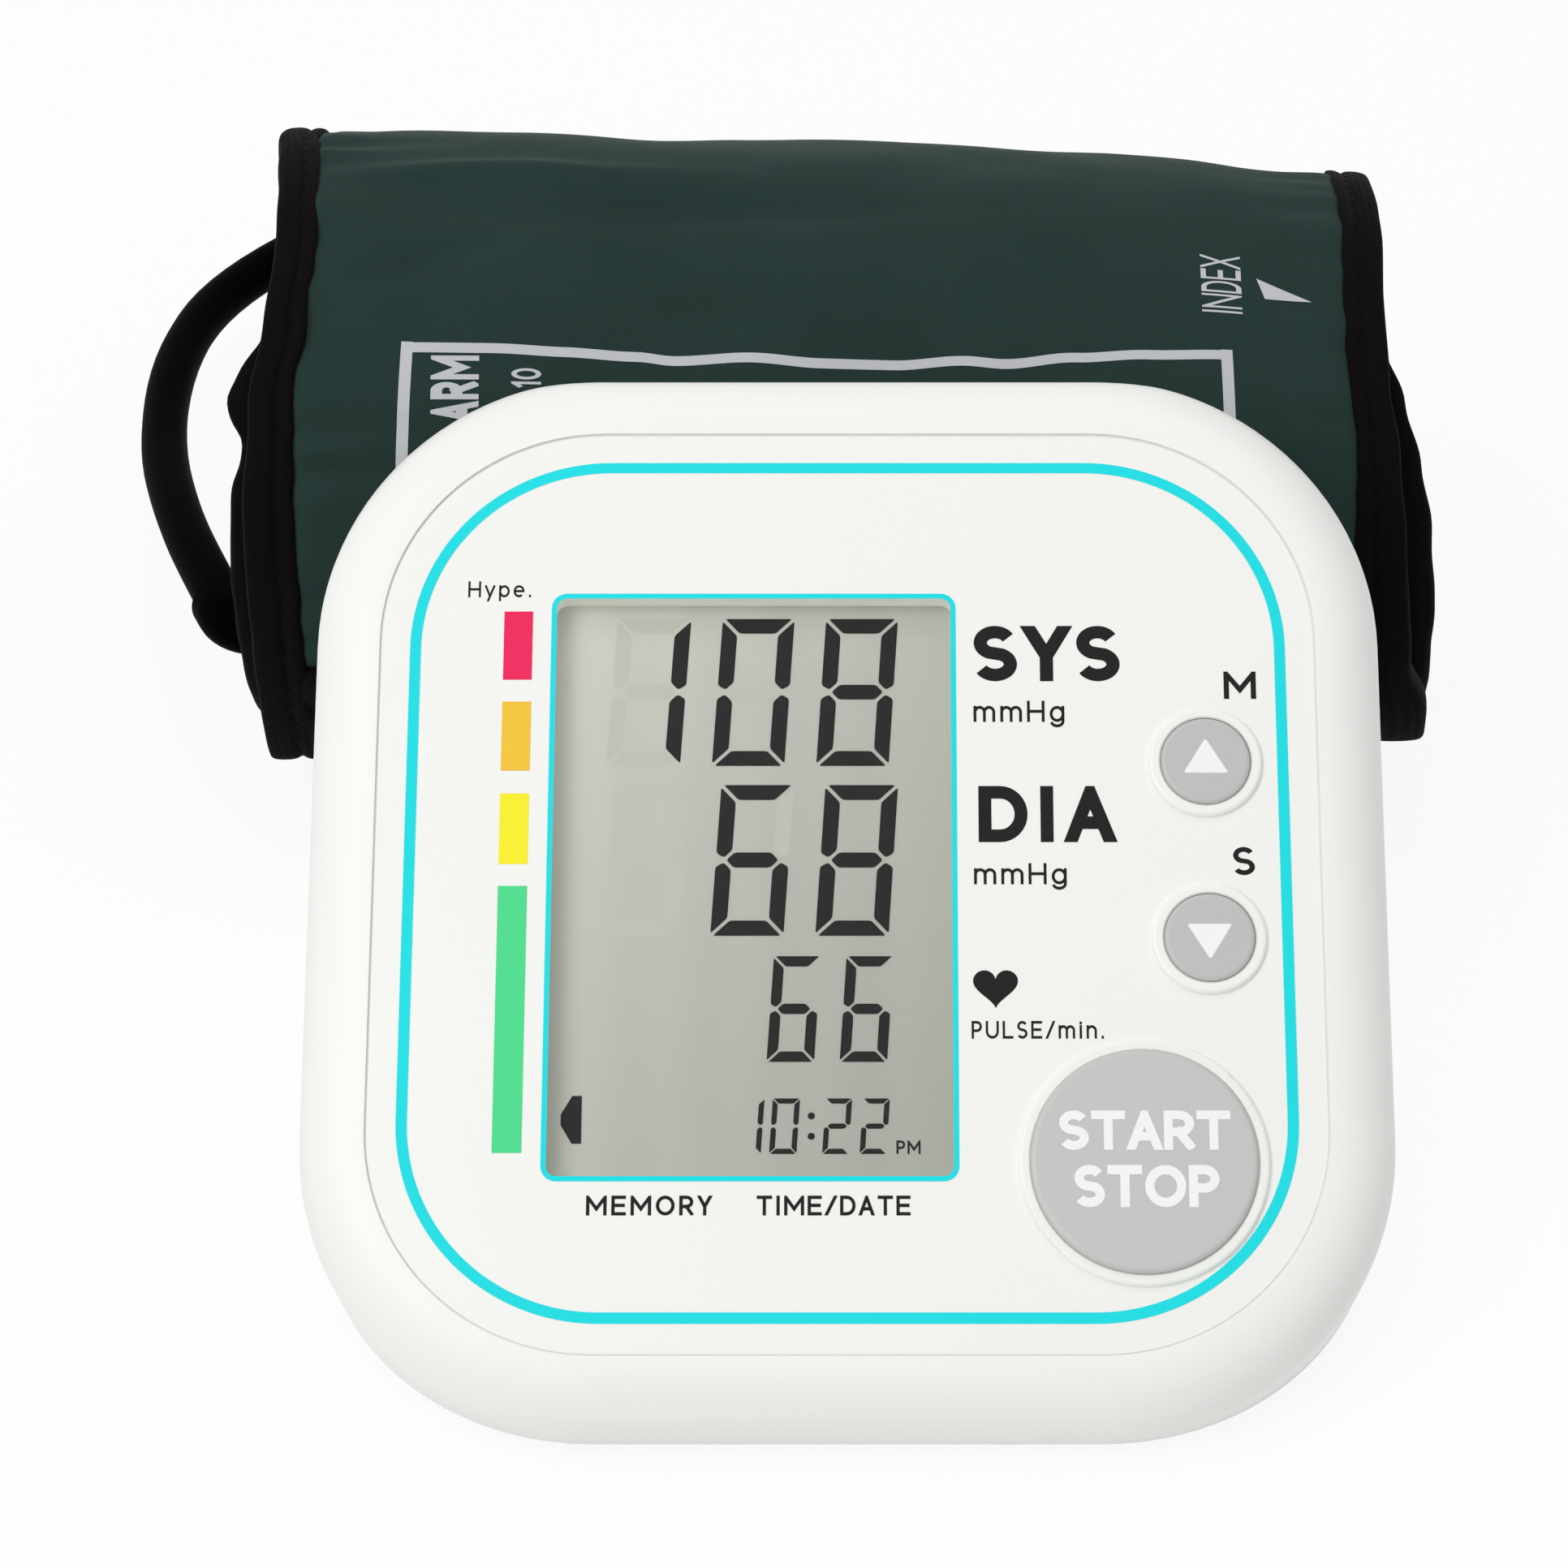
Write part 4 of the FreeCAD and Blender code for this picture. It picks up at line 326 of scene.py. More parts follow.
bars = {"red": ("#F12A5F", 33.21, 24.68), "orange": ("#F5C73E", 21.96, 13.44),
        "yellow": ("#FAF130", 10.65, 2.04), "green": ("#51DE90", -0.61, -32.34)}
for colour_name, (code, top, bottom) in bars.items():
    bar = rounded_sheet(3.4, top - bottom, 0, 1, (-38.9, (top + bottom) / 2))
    bar_ink = ink(f"{colour_name}_screen_ink", code)
    on_face(f"{colour_name}_scale_bar", bar, INK_LIFT, bar_ink)


def bow(x, y, wide, tall, first, last):
    """Points along part of an oval, by its angles in degrees."""
    steps = 28 if abs(last - first) > 200 else 14
    turns = [math.radians(first + (last - first) * step / steps) for step in range(steps + 1)]
    return [(x + wide * math.cos(turn), y + tall * math.sin(turn)) for turn in turns]


# Each sign's width and strokes for capitals 1 high, measured between the middles of its outer strokes.
# A stroke in square brackets runs on past its ends. One in round brackets doesn't, apart from Y's foot.
ARCH, LAYER_RISE, WORD_GAP = 0.72, 0.004, 0.12
ROUND, BOWL = bow(0.5, 0.5, 0.5, 0.5, 90, 450), bow(0.5, 0.36, 0.5, 0.36, 90, 450)
STEM_AND_LOOP = [[(0, 0), (0, 1)],
                 [(0, 1), (0.5, 1)] + bow(0.5, 0.72, 0.5, 0.28, 80, -80) + [(0.5, 0.44), (0, 0.44)]]
SIGNS = {
    "A": (0.61, [[(0, 0), (0.5, 1), (1, 0)], ((0.2, 0.3), (0.8, 0.3))]),
    "D": (0.63, [[(0, 0), (0, 1), (0.42, 1)] + bow(0.42, 0.5, 0.58, 0.5, 80, -80) + [(0.42, 0), (0, 0)]]),
    "E": (0.56, [[(1, 1), (0, 1), (0, 0), (1, 0)], [(0, 0.51), (0.9, 0.51)]]),
    "F": (0.56, [[(1, 1), (0, 1), (0, 0)], [(0, 0.5), (0.88, 0.5)]]),
    "H": (0.72, [[(0, 0), (0, 1)], [(1, 0), (1, 1)], ((0, 0.5), (1, 0.5))]),
    "I": (0.10, [[(0.5, 0), (0.5, 1)]]),
    "L": (0.54, [[(0, 1), (0, 0), (1, 0)]]),
    "M": (0.86, [[(0, 0), (0, 1), (0.5, 0.3), (1, 1), (1, 0)]]),
    "N": (0.78, [[(0, 0), (0, 1), (1, 0), (1, 1)]]),
    "O": (0.77, [ROUND]),
    "P": (0.52, STEM_AND_LOOP),
    "R": (0.53, STEM_AND_LOOP + [[(0.5, 0.44), (1, 0)]]),
    "S": (0.52, [tuple(bow(0.5, 0.75, 0.48, 0.25, 28, 245) + bow(0.5, 0.25, 0.5, 0.25, 65, -152))]),
    "T": (0.62, [[(0, 1), (1, 1)], [(0.5, 1), (0.5, 0)]]),
    "U": (0.70, [[(0, 1), (0, 0.42)] + bow(0.5, 0.4, 0.5, 0.4, 180, 360) + [(1, 0.42), (1, 1)]]),
    "X": (0.72, [[(0, 0), (1, 1)], [(0, 1), (1, 0)]]),
    "Y": (0.51, [[(0, 1), (0.5, 0.44), (1, 1)], ((0.5, 0.5), (0.5, 0.44), (0.5, 0))]),
    "/": (0.42, [[(0, 0), (1, 1)]]),
    "0": (0.60, [ROUND]),
    "1": (0.24, [[(0, 0.78), (0.9, 1), (0.9, 0)]]),
    "e": (0.60, [tuple([(0.02, 0.37), (1, 0.37)] + bow(0.5, 0.36, 0.5, 0.36, 8, 312))]),
    "g": (0.58, [BOWL, [(1, ARCH), (1, 0)] + bow(0.5, -0.04, 0.5, 0.26, 0, -150)]),
    "i": (0.10, [[(0.5, 0), (0.5, ARCH)], [(0.5, 0.94), (0.5, 0.96)]]),
    "m": (0.92, [[(0, 0), (0, ARCH)], bow(0.25, 0.46, 0.25, 0.26, 180, 0) + [(0.5, 0)],
                 bow(0.75, 0.46, 0.25, 0.26, 180, 0) + [(1, 0)]]),
    "n": (0.52, [[(0, 0), (0, ARCH)], bow(0.5, 0.44, 0.5, 0.28, 180, 0) + [(1, 0)]]),
    "p": (0.58, [BOWL, [(0, ARCH), (0, -0.28)]]),
    "y": (0.56, [[(0, ARCH), (0.5, 0.0)], [(1, ARCH), (0.3, -0.3)]]),
    ".": (0.10, [[(0.5, 0), (0.5, 0.02)]]),
    " ": (0.30, []),
}


def join(bm, part):
    """Add one bmesh to another, and free it."""
    mesh = bpy.data.meshes.new("part")
    part.to_mesh(mesh)
    part.free()
    bm.from_mesh(mesh)
    bpy.data.meshes.remove(mesh)


def sign_mesh(sign, stroke):
    """One sign, with strokes a share of the capitals' height wide. Each stroke lies on those before it."""
    width, lines = SIGNS[sign]
    half = stroke / 2
    bm = bmesh.new()
    for layer, line in enumerate(lines):
        curve = bpy.data.curves.new("sign", "CURVE")
        curve.dimensions = "2D"
        curve.fill_mode = "NONE"
        curve.bevel_depth = half
        curve.bevel_resolution = 0
        spots = [Vector((half + u * width, half + v * (1 - stroke), 0)) for u, v in line]
        closed = (spots[0] - spots[-1]).length < 1e-6
        if closed:
            spots.pop()
        elif isinstance(line, list):
            reach = half * (2.5 if sign in "AMNXY/" else 1.0)
            spots[0] += (spots[0] - spots[1]).normalized() * reach
            spots[-1] += (spots[-1] - spots[-2]).normalized() * reach
        elif sign == "Y":
            spots[-1] += (spots[-1] - spots[-2]).normalized() * half
        spline = curve.splines.new("POLY")
        spline.points.add(len(spots) - 1)
        for point, spot in zip(spline.points, spots):
            point.co = (*spot, 1)
        spline.use_cyclic_u = closed
        holder = put("sign", curve)
        flat = bpy.data.meshes.new_from_object(holder.evaluated_get(bpy.context.evaluated_depsgraph_get()))
        ribbon = bmesh.new()
        ribbon.from_mesh(flat)
        bpy.data.batch_remove((holder, curve, flat))
        under = [f for f in ribbon.faces if f.calc_center_median().z < 0]
        bmesh.ops.delete(ribbon, geom=under, context="FACES")
        resize(ribbon, (1, 1, 0), (0, 0, LAYER_RISE * layer))
        join(bm, ribbon)
    if sign.isupper() or sign in "/01":
        for level, way in ((0, -1), (1, 1)):
            every = bm.verts[:] + bm.edges[:] + bm.faces[:]
            bmesh.ops.bisect_plane(bm, geom=every, plane_co=(0, level, 0), plane_no=(0, way, 0),
                                   clear_outer=True)
    return bm


def words_mesh(words, stroke, length, air=0.0):
    """A line of signs for capitals 1 high, spaced evenly to a length, and narrowed to leave air between."""
    full = sum(SIGNS[sign][0] + stroke for sign in words)
    narrow = min(1, (length - air * (len(words) - 1)) / full)
    widths = [(SIGNS[sign][0] + stroke) * narrow for sign in words]
    gap = (length - sum(widths)) / max(len(words) - 1, 1)
    bm, pen = bmesh.new(), 0.0
    for sign, width in zip(words, widths):
        one = sign_mesh(sign, stroke)
        resize(one, (narrow, 1, 1), (pen, 0, 0))
        join(bm, one)
        pen += width + gap
    first, last = min(v.co.x for v in bm.verts), max(v.co.x for v in bm.verts)
    bmesh.ops.translate(bm, vec=(-first, 0, 0), verts=bm.verts)
    bmesh.ops.scale(bm, vec=(length / (last - first), 1, 1), verts=bm.verts)
    return bm


def lettering(name, words, left, right, low, high, stroke, lift, material, *place):
    """Words on the face between two sides, with their capitals between two levels."""
    tall = high - low
    bm = words_mesh(words, stroke, (right - left) / tall, max(0.51 - 2 * stroke, 0.06))
    resize(bm, (tall, tall, 1), (left, low, 0))
    on_face(name, bm, lift, material, *place)


black_ink = ink("black_screen_ink", "#181A18")
panel_words = [
    ("range_word", "Hype.", -44.95, -37.5, 35.0, 37.0, 0.14),
    ("systolic_word", "SYS", 14.9, 32.1, 24.5, 31.4, 0.225),
    ("systolic_unit", "mmHg", 14.8, 25.5, 19.45, 22.06, 0.14),
    ("diastolic_word", "DIA", 15.3, 31.5, 4.7, 11.55, 0.225),
    ("diastolic_unit", "mmHg", 14.7, 25.5, -0.42, 2.14, 0.14),
    ("pulse_word", "PULSE/min.", 14.3, 29.5, -18.9, -16.8, 0.15),
    ("memory_mark", "M", 44.3, 48.1, 22.3, 25.7, 0.17),
    ("set_mark", "S", 44.9, 47.4, 0.7, 4.1, 0.17),
    ("memory_word", "MEMORY", -29.7, -15.3, -39.6, -37.3, 0.17),
    ("time_word", "TIME/DATE", -10.3, 7.2, -39.6, -37.3, 0.17),
]
for row in panel_words:
    lettering(*row, INK_LIFT, black_ink)

bm = bmesh.new()
turns = [math.radians(7.5 * step) for step in range(48)]
heart = [(16 * math.sin(t) ** 3,
          13 * math.cos(t) - 5 * math.cos(2 * t) - 2 * math.cos(3 * t) - math.cos(4 * t))
         for t in reversed(turns)]
facet(bm, [(17.1 + 2.6 / 16 * x, -12.65 + 4.6 / 29 * y) for x, y in heart])
on_face("pulse_heart", bm, INK_LIFT, black_ink)

# The display: a grey-green liquid crystal glass in a dark frame, under a clear acrylic window in the panel.
# Its figures are dark segments on the glass, with the unlit ones just showing.
tree, spots, window_acrylic = new_material("clear_polished_acrylic")
wipes = add(tree, "TexNoise", {"Vector": spots, "Scale": NOISE / 15})
polish = add(tree, "MapRange", {"Value": wipes, "To Min": 0.04, "To Max": 0.1})
clear = add(tree, "BsdfTransparent")
shine = add(tree, "BsdfGlossy", {"Color": srgb("#FFFFFF"), "Roughness": polish})
edge = add(tree, "Fresnel", {"IOR": 1.18})
mix = add(tree, "MixShader", (edge, clear, shine))
add(tree, "OutputMaterial", {"Surface": mix})
paint(window_acrylic, "display_lens")

# The acrylic's sawn edges are frosted, in the grey of the glass behind, with a painted glow that hides the
# recess's shade
tree, spots, glowing_window_wall = new_material("painted_glow_acrylic_edge")
saw_marks = add(tree, "TexNoise", {"Vector": spots, "Scale": NOISE / 0.5})
frost = add(tree, "MapRange", {"Value": saw_marks, "To Min": 0.55, "To Max": 0.7})
# Painted light: the edges glow though no lamp lights them
coat(tree, {"Base Color": srgb("#C2C3BA"), "Roughness": frost, "IOR": 1.49, "Specular IOR Level": 0.2,
            "Emission Color": srgb("#C6C7BD"), "Emission Strength": 0.36})
WINDOW_DEPTH = 3.26
bm = rounded_sheet(47.1, 70.4, 1.45, 8, WINDOW_MIDDLE)
lid = bm.faces[:]
wall = bmesh.ops.extrude_edge_only(bm, edges=bm.edges[:])
foot = [g for g in wall["geom"] if isinstance(g, bmesh.types.BMVert)]
bmesh.ops.translate(bm, vec=(0, 0, -WINDOW_DEPTH), verts=foot)
bmesh.ops.delete(bm, geom=lid, context="FACES_ONLY")
on_face("window_edges", bm, -0.13, glowing_window_wall, slot="clear_window")

# Grey-green glass, matt polariser, faint broad bands; painted lighter at the top left against the walls'
# shade
tree, spots, lcd_grey = new_material("liquid_crystal_polariser")
level_spots = add(tree, "Mapping", {"Vector": spots, "Rotation": (-FACE_TILT, 0, 0)})
low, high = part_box("lcd_glass")
painted_light_axes = add(tree, "SeparateXYZ", {"Vector": spots}).outputs
across = add(tree, "MapRange", {"Value": painted_light_axes["X"], "From Min": low[0], "From Max": high[0]})
down = add(tree, "MapRange", {"Value": painted_light_axes["Z"], "From Min": high[2], "From Max": low[2]})
waves = add(tree, "TexWave", {"Vector": level_spots, "Scale": WAVE / 9, "Distortion": 2.0, "Detail": 1.0})
# Painted light: the grey runs from light at the top left to darker at the lower right
painted_light_slope = add(tree, "Math", (across, down), operation="ADD")
banded = add(tree, "Math", (waves.outputs["Fac"], 0.12, painted_light_slope), operation="MULTIPLY_ADD")
evened = add(tree, "Math", (banded, 2.1), operation="DIVIDE")
share = add(tree, "Math", (evened, 0.7), operation="POWER")
shade = add(tree, "Mix", {"Factor": share, "A": srgb("#DDDED4"), "B": srgb("#ABACA4")}, data_type="RGBA")
coat(tree, {"Base Color": shade, "Roughness": 0.42, "Specular IOR Level": 0.15})
paint(lcd_grey, "lcd_glass")
paint(moulded("black_moulded_frame_abs", "#2A2A2C", 0.5, 0.6, 0.02, 0.03), "lcd_frame")
paint(metal("brushed_reflector_foil", "#C9CBC6", 0.3, 1.0, (0.05, 1, 1)), "lcd_reflector")

# Elastic strips of pink silicone with dark conducting layers, drawn coarser than the real 0.1 mm to show
tree, spots, zebra_rubber = new_material("layered_contact_silicone")
layers = add(tree, "TexWave", {"Vector": spots, "Scale": WAVE / 0.5, "Distortion": 0.3})
shade = add(tree, "Mix", {"Factor": layers.outputs["Fac"], "A": srgb("#5A3B3E"), "B": srgb("#D69CA1")},
            data_type="RGBA")
coat(tree, {"Base Color": shade, "Roughness": 0.6, "IOR": 1.41})
paint(zebra_rubber, "contact_strips")


def segment_outline(stroke, left, right, low, high, line):
    """Corners of one stroke of a seven-stroke figure, mitred where strokes meet."""
    middle = (low + high) / 2
    gap, half = 0.16 * line, line / 2
    if stroke in "ad":
        edge_level, side = (high, -1) if stroke == "a" else (low, 1)
        return [(left + gap, edge_level), (right - gap, edge_level),
                (right - gap - line, edge_level + side * line), (left + gap + line, edge_level + side * line)]
    if stroke == "g":
        near, far = left + gap, right - gap
        return [(near + half, middle), (near + line, middle + half), (far - line, middle + half),
                (far - half, middle), (far - line, middle - half), (near + line, middle - half)]
    edge_side, inner = (left, left + line) if stroke in "ef" else (right, right - line)
    outer_end, sign = (high, -1) if stroke in "bf" else (low, 1)
    return [(edge_side, outer_end + sign * gap), (inner, outer_end + sign * (gap + line)),
            (inner, middle - sign * (gap + half)), ((edge_side + inner) / 2, middle - sign * gap),
            (edge_side, middle - sign * (gap + half) * 0.7)]


def figure(bm, strokes, left, right, low, high, line):
    """One seven-stroke figure that leans to the right, with its corners eased."""
    for stroke in strokes:
        corners = segment_outline(stroke, left, right, low, high, line)
        verts = facet(bm, [(x + (y - low) * FIGURE_LEAN, y) for x, y in corners])
        round_corners(bm, verts, 0.14 * line, 2)


LCD_DEPTH, FIGURE_LEAN = 3.37, 0.063
ONE, NOUGHT, TWO, SIX, EIGHT = "bc", "abcdef", "abged", "acdefg", "abcdefg"
# Left and right sides of two columns, and the foot, head and line width of each row
HUNDREDS, TENS = (-28.5, -19.75), (-16.0, -7.45)
SYSTOLIC, DIASTOLIC = (15.10, 33.47, 1.85), (-5.68, 12.74, 1.85)
PULSE, CLOCK = (-20.80, -8.14, 1.25), (-31.68, -25.13, 0.62)
lit_figures = [
    (ONE, HUNDREDS, SYSTOLIC), (NOUGHT, TENS, SYSTOLIC), (EIGHT, (-3.7, 4.85), SYSTOLIC),
    (SIX, TENS, DIASTOLIC), (EIGHT, (-3.75, 4.80), DIASTOLIC),
    (SIX, (-9.35, -3.85), PULSE), (SIX, (-0.90, 4.60), PULSE),
    (ONE, (-12.9, -9.95), CLOCK), (NOUGHT, (-9.0, -5.85), CLOCK), (TWO, (-2.9, 0.15), CLOCK),
    (TWO, (1.4, 4.5), CLOCK)]
unlit_figures = [("adefg", HUNDREDS, SYSTOLIC), (EIGHT, HUNDREDS, DIASTOLIC), ("g", TENS, SYSTOLIC),
                 ("b", TENS, DIASTOLIC)]
lit, unlit = bmesh.new(), bmesh.new()
for bm, figures in ((lit, lit_figures), (unlit, unlit_figures)):
    for strokes, sides, row in figures:
        figure(bm, strokes, *sides, *row)
for level in (-27.2, -29.6):
    dot = bmesh.ops.create_circle(lit, cap_ends=True, radius=0.42, segments=16)
    bmesh.ops.translate(lit, vec=(-4.15, level, 0), verts=dot["verts"])
pointer = [(-33.0, -27.0), (-31.7, -24.83), (-30.6, -24.83), (-30.6, -30.49), (-31.7, -30.49), (-33.0, -28.3)]
facet(lit, pointer)
segment_ink = ink("lit_segment_dye", "#121211")
on_face("lit_segments", lit, -LCD_DEPTH, segment_ink, slot="display_glass")
unlit_ink = ink("unlit_segment_dye", "#C8C9BF")
on_face("unlit_segments", unlit, -LCD_DEPTH - 0.015, unlit_ink, slot="display_glass")
afternoon = ("PM", 5.64, 8.42, -31.68, -30.09, 0.17)
lettering("afternoon_mark", *afternoon, -LCD_DEPTH, segment_ink, "monitor", "display_glass")

# The push buttons: grey moulded caps in the panel's collars, each over a plunger and a switch on the board.
# Their words and arrows are printed in white on the crown.
button_grey = moulded("grey_moulded_abs", "#BFBFBD", 0.4, 0.5, 0.01, 0.01, 0.4)
white_ink = ink("white_screen_ink", "#F7F7F5")
# The START cap is the same grey plastic as the small caps, with painted light making it a shade lighter
lit_start_grey = moulded("start_grey_moulded_abs_lit", "#C5C5C3", 0.4, 0.5, 0.01, 0.01, 0.4)
paint(button_grey, "memory_button", "set_button")
paint(lit_start_grey, "start_button")
START_CROWN, SMALL_CROWN = 1.4, 1.0
SMALL_X, MEMORY_Y, SET_Y = 41.9, 14.4, -7.0
for name, words, *box in (("start_word", "START", 24.15, 43.7, -32.3, -27.7),
                          ("stop_word", "STOP", 25.8, 42.3, -38.95, -34.05)):
    lettering(name, words, *box, 0.225, START_CROWN + INK_LIFT, white_ink, "start_button", "button_grey")
for body, level, side in (("memory_button", MEMORY_Y, 1), ("set_button", SET_Y, -1)):
    bm = bmesh.new()
    tip = [(-2.65, -1.55 * side), (2.65, -1.55 * side), (0, 2.75 * side)]
    corners = facet(bm, [(SMALL_X + x, level + y) for x, y in (tip if side > 0 else reversed(tip))])
    round_corners(bm, corners, 0.35, 4)
    on_face(f"{body}_arrow", bm, SMALL_CROWN + INK_LIFT, white_ink, body, "button_grey")
# A soft grey dust seal closes the gap round each cap
seal_rubber = moulded("grey_seal_rubber", "#D2D3D0", 0.6, 0.4, 0.01, 0.02, 0.2)
bm = bmesh.new()
for x, level, radius in ((33.86, -33.48, 13.0), (SMALL_X, MEMORY_Y, 5.3), (SMALL_X, SET_Y, 5.3)):
    circle = bmesh.ops.create_circle(bm, cap_ends=True, radius=radius + 0.19, segments=96)["verts"]
    bmesh.ops.translate(bm, vec=(x, level, 0), verts=circle)
lids = bm.faces[:]
bmesh.ops.inset_region(bm, faces=lids, thickness=0.17, use_boundary=True, use_even_offset=True)
bmesh.ops.delete(bm, geom=lids, context="FACES")
on_face("button_seals", bm, 0.64, seal_rubber)
# Waxy off-white acetal on the plungers, drawn steel on the switches
ivory_acetal = moulded("ivory_turned_acetal", "#E4E1D6", 0.45, 0.4, 0.01)
paint(ivory_acetal, "start_plunger", "memory_plunger", "set_plunger")
paint(metal("stamped_switch_steel", "#B5B7B9", 0.32, 0.6, (1, 0.2, 1)), "tact_switches")

# The circuit board: a glass-epoxy plate screwed behind the panel, with a chip, buzzer and sensor soldered on.
# Copper tracks show as paler lines under the green solder mask, with tinned pads between them.
tree, spots, solder_mask = new_material("green_solder_mask")
level_spots = add(tree, "Mapping", {"Vector": spots, "Rotation": (-FACE_TILT, 0, 0)})
tracks = add(tree, "TexVoronoi", {"Vector": level_spots, "Scale": NOISE / 7}, feature="F2",
             distance="MANHATTAN")
steps = add(tree, "Math", (tracks, 9.0), operation="MULTIPLY")
saw = add(tree, "Math", (steps,), operation="FRACT")
track = add(tree, "Math", (saw, 0.62), operation="GREATER_THAN")
pads = add(tree, "TexVoronoi", {"Vector": level_spots, "Scale": NOISE / 4.5, "Randomness": 0.6})
pad_spot = add(tree, "Math", (pads, 0.14), operation="LESS_THAN")
green = add(tree, "Mix", {"Factor": track, "A": srgb("#14502B"), "B": srgb("#2C7A45")}, data_type="RGBA")
shade = add(tree, "Mix", {"Factor": pad_spot, "A": green, "B": srgb("#C8C6BC")}, data_type="RGBA")
relief = add(tree, "Bump", {"Height": track, "Strength": 0.4, "Distance": 0.03 * MM})
coat(tree, {"Base Color": shade, "Metallic": pad_spot, "Roughness": 0.35, "Normal": relief})
paint(solder_mask, "main_board")
# Black epoxy and nylon: dull, with a fine sandy grain
paint(moulded("black_moulded_epoxy", "#1B1C1E", 0.55, 0.3, 0.02, 0.05, 0.3), "controller_chip", "buzzer")
paint(moulded("pale_glass_filled_nylon", "#D5D4CC", 0.5, 0.5, 0.02, 0.04), "pressure_sensor")

# The pump: a small motor turns a crank behind a rubber diaphragm, in a two-part nylon case on two saddles.
# The motor's can is drawn steel with fine streaks round it; the case is natural nylon.
paint(metal("drawn_motor_steel", "#B2B4B6", 0.36, 0.7, (1, 0.08, 0.08)), "pump_motor")
natural_nylon = moulded("natural_moulded_nylon", "#DCD8CA", 0.45, 0.6, 0.02, 0.04)
paint(natural_nylon, "pump_body", "pump_cover", "air_manifold")
paint(moulded("white_turned_acetal", "#E9E7DF", 0.4, 0.4, 0.01), "pump_crank")
black_rubber = moulded("black_moulded_rubber", "#202122", 0.65, 0.5, 0.04, 0.08, 0.3)
paint(black_rubber, "pump_diaphragm", "pump_saddles")

# The bleed valve and air lines: a copper coil draws a steel plunger off its seat, and silicone tubes join the
# pump, valve, sensor and socket to a nylon manifold. The wire is 0.35 mm, drawn as fine bands round the coil.
tree, spots, enamelled_wire = new_material("enamelled_copper_wire")
turns = add(tree, "TexWave", {"Vector": spots, "Scale": WAVE / 0.35, "Distortion": 0.2}).outputs["Fac"]
shade = add(tree, "Mix", {"Factor": turns, "A": srgb("#6E3313"), "B": srgb("#C4743A")}, data_type="RGBA")
relief = add(tree, "Bump", {"Height": turns, "Strength": 0.6, "Distance": 0.1 * MM})
coat(tree, {"Base Color": shade, "Metallic": 1.0, "Roughness": 0.3, "Normal": relief})
paint(enamelled_wire, "valve_coil")
paint(moulded("grey_moulded_nylon", "#A9ABA9", 0.5, 0.5, 0.02, 0.03), "valve_body")
paint(metal("turned_plunger_steel", "#BFC1C3", 0.25, 0.4, (0.2, 1, 1)), "valve_plunger")
# Milky silicone: soft and dull, slightly cloudy
silicone = moulded("milky_extruded_silicone", "#DADBD5", 0.38, 0.8, 0.01, 0.05)
paint(silicone, "pump_tube", "valve_tube", "sensor_tube", "socket_tube")
paint(moulded("pale_grey_socket_abs", "#CBCBC8", 0.42, 0.5, 0.015, 0.02), "air_socket", "socket_nut")

# The arm cuff: a nylon strip with a stiff sheet and an air bladder sewn inside, rolled up nearly two turns.
# The fabric is cut a little full and its edges are sewn short, so it puckers beside the bindings.
AXIS_Y, AXIS_Z = 57.04, 35.979
ROLL_RADIUS, ROLL_STEP, TAIL_ANGLE, JOINT_ANGLE = 41.0, 2.8, 216.0, 52.5
INNER_HALF, TAPER, FLOOR_GAP = 77, 0.05, 0.06
COVER_HALF, PAD_THICK = 68.5, 4.4
HEM_ROLL, INNER_ROLL, HEAD_ROLL, END_ROLL = 25.0, 343.5, 645.0, 665.0
SETTLE_FRAMES = 20
ARC_MM = math.radians(ROLL_RADIUS)
# How much the roll swells across the cuff
CROWN = [(-80, -0.018), (-66, -0.010), (-35, 0.004), (0, 0.014), (30, 0.015), (48, 0.011), (62, 0.0),
         (80, -0.004)]


def between(table, spot):
    """A value eased between the entries of a table."""
    for (first, low), (last, high) in zip(table, table[1:]):
        if spot <= last:
            share = min(max((spot - first) / (last - first), 0), 1)
            return low + (high - low) * share * share * (3 - 2 * share)
    return table[-1][1]


def roll_place(x, depth, roll):
    """A point of the rolled strip: across it, below its outer face, and along the roll from the free end."""
    turn = sum(roll > TAIL_ANGLE - JOINT_ANGLE + 180 * half for half in range(4))
    loose = max(0.0, 1 - roll / HEM_ROLL)
    radius = ROLL_RADIUS - ROLL_STEP * turn - depth + 1.7 * loose * loose * (0.5 - x / 150)
    angle, lean = math.radians(TAIL_ANGLE - roll + 3.0 * loose), math.radians(JOINT_ANGLE)
    shift = ROLL_STEP if turn % 2 else 0.0
    scale = 1 - TAPER * x / INNER_HALF + between(CROWN, x)
    y = shift * math.cos(lean) + radius * math.cos(angle)
    z = AXIS_Z + shift * math.sin(lean) + radius * math.sin(angle)
    return Vector((x, AXIS_Y + scale * y, max(scale * z, FLOOR_GAP))) * MM


def gathers(x, roll):
    """The rise and fall of the fabric where a sewn edge draws it up, in millimetres."""
    spacing, depth = (9.4, 1.3) if x < 0 else (6.6, 0.8)
    phase = roll * ARC_MM / spacing + 0.8 * noise.noise(Vector((roll / 17, 0.3, 6.0)))
    depth *= 0.75 + noise.noise(Vector((roll / 11, 4.3, x / 60)))
    return depth * math.sin(2 * math.pi * phase)


# Folds in the outer wrap: height, angle up the roll, slant, where it turns about, breadth, middle, length
FOLDS = [(1.9, 88.5, 0.02, 0, 3.1, -46, 24), (-2.2, 99, 0.05, -25, 3.8, -20, 32),
         (-1.9, 114.5, 0.52, -56, 2.8, -56, 13), (-1.2, 123, 0, 0, 5.0, -16, 9)]


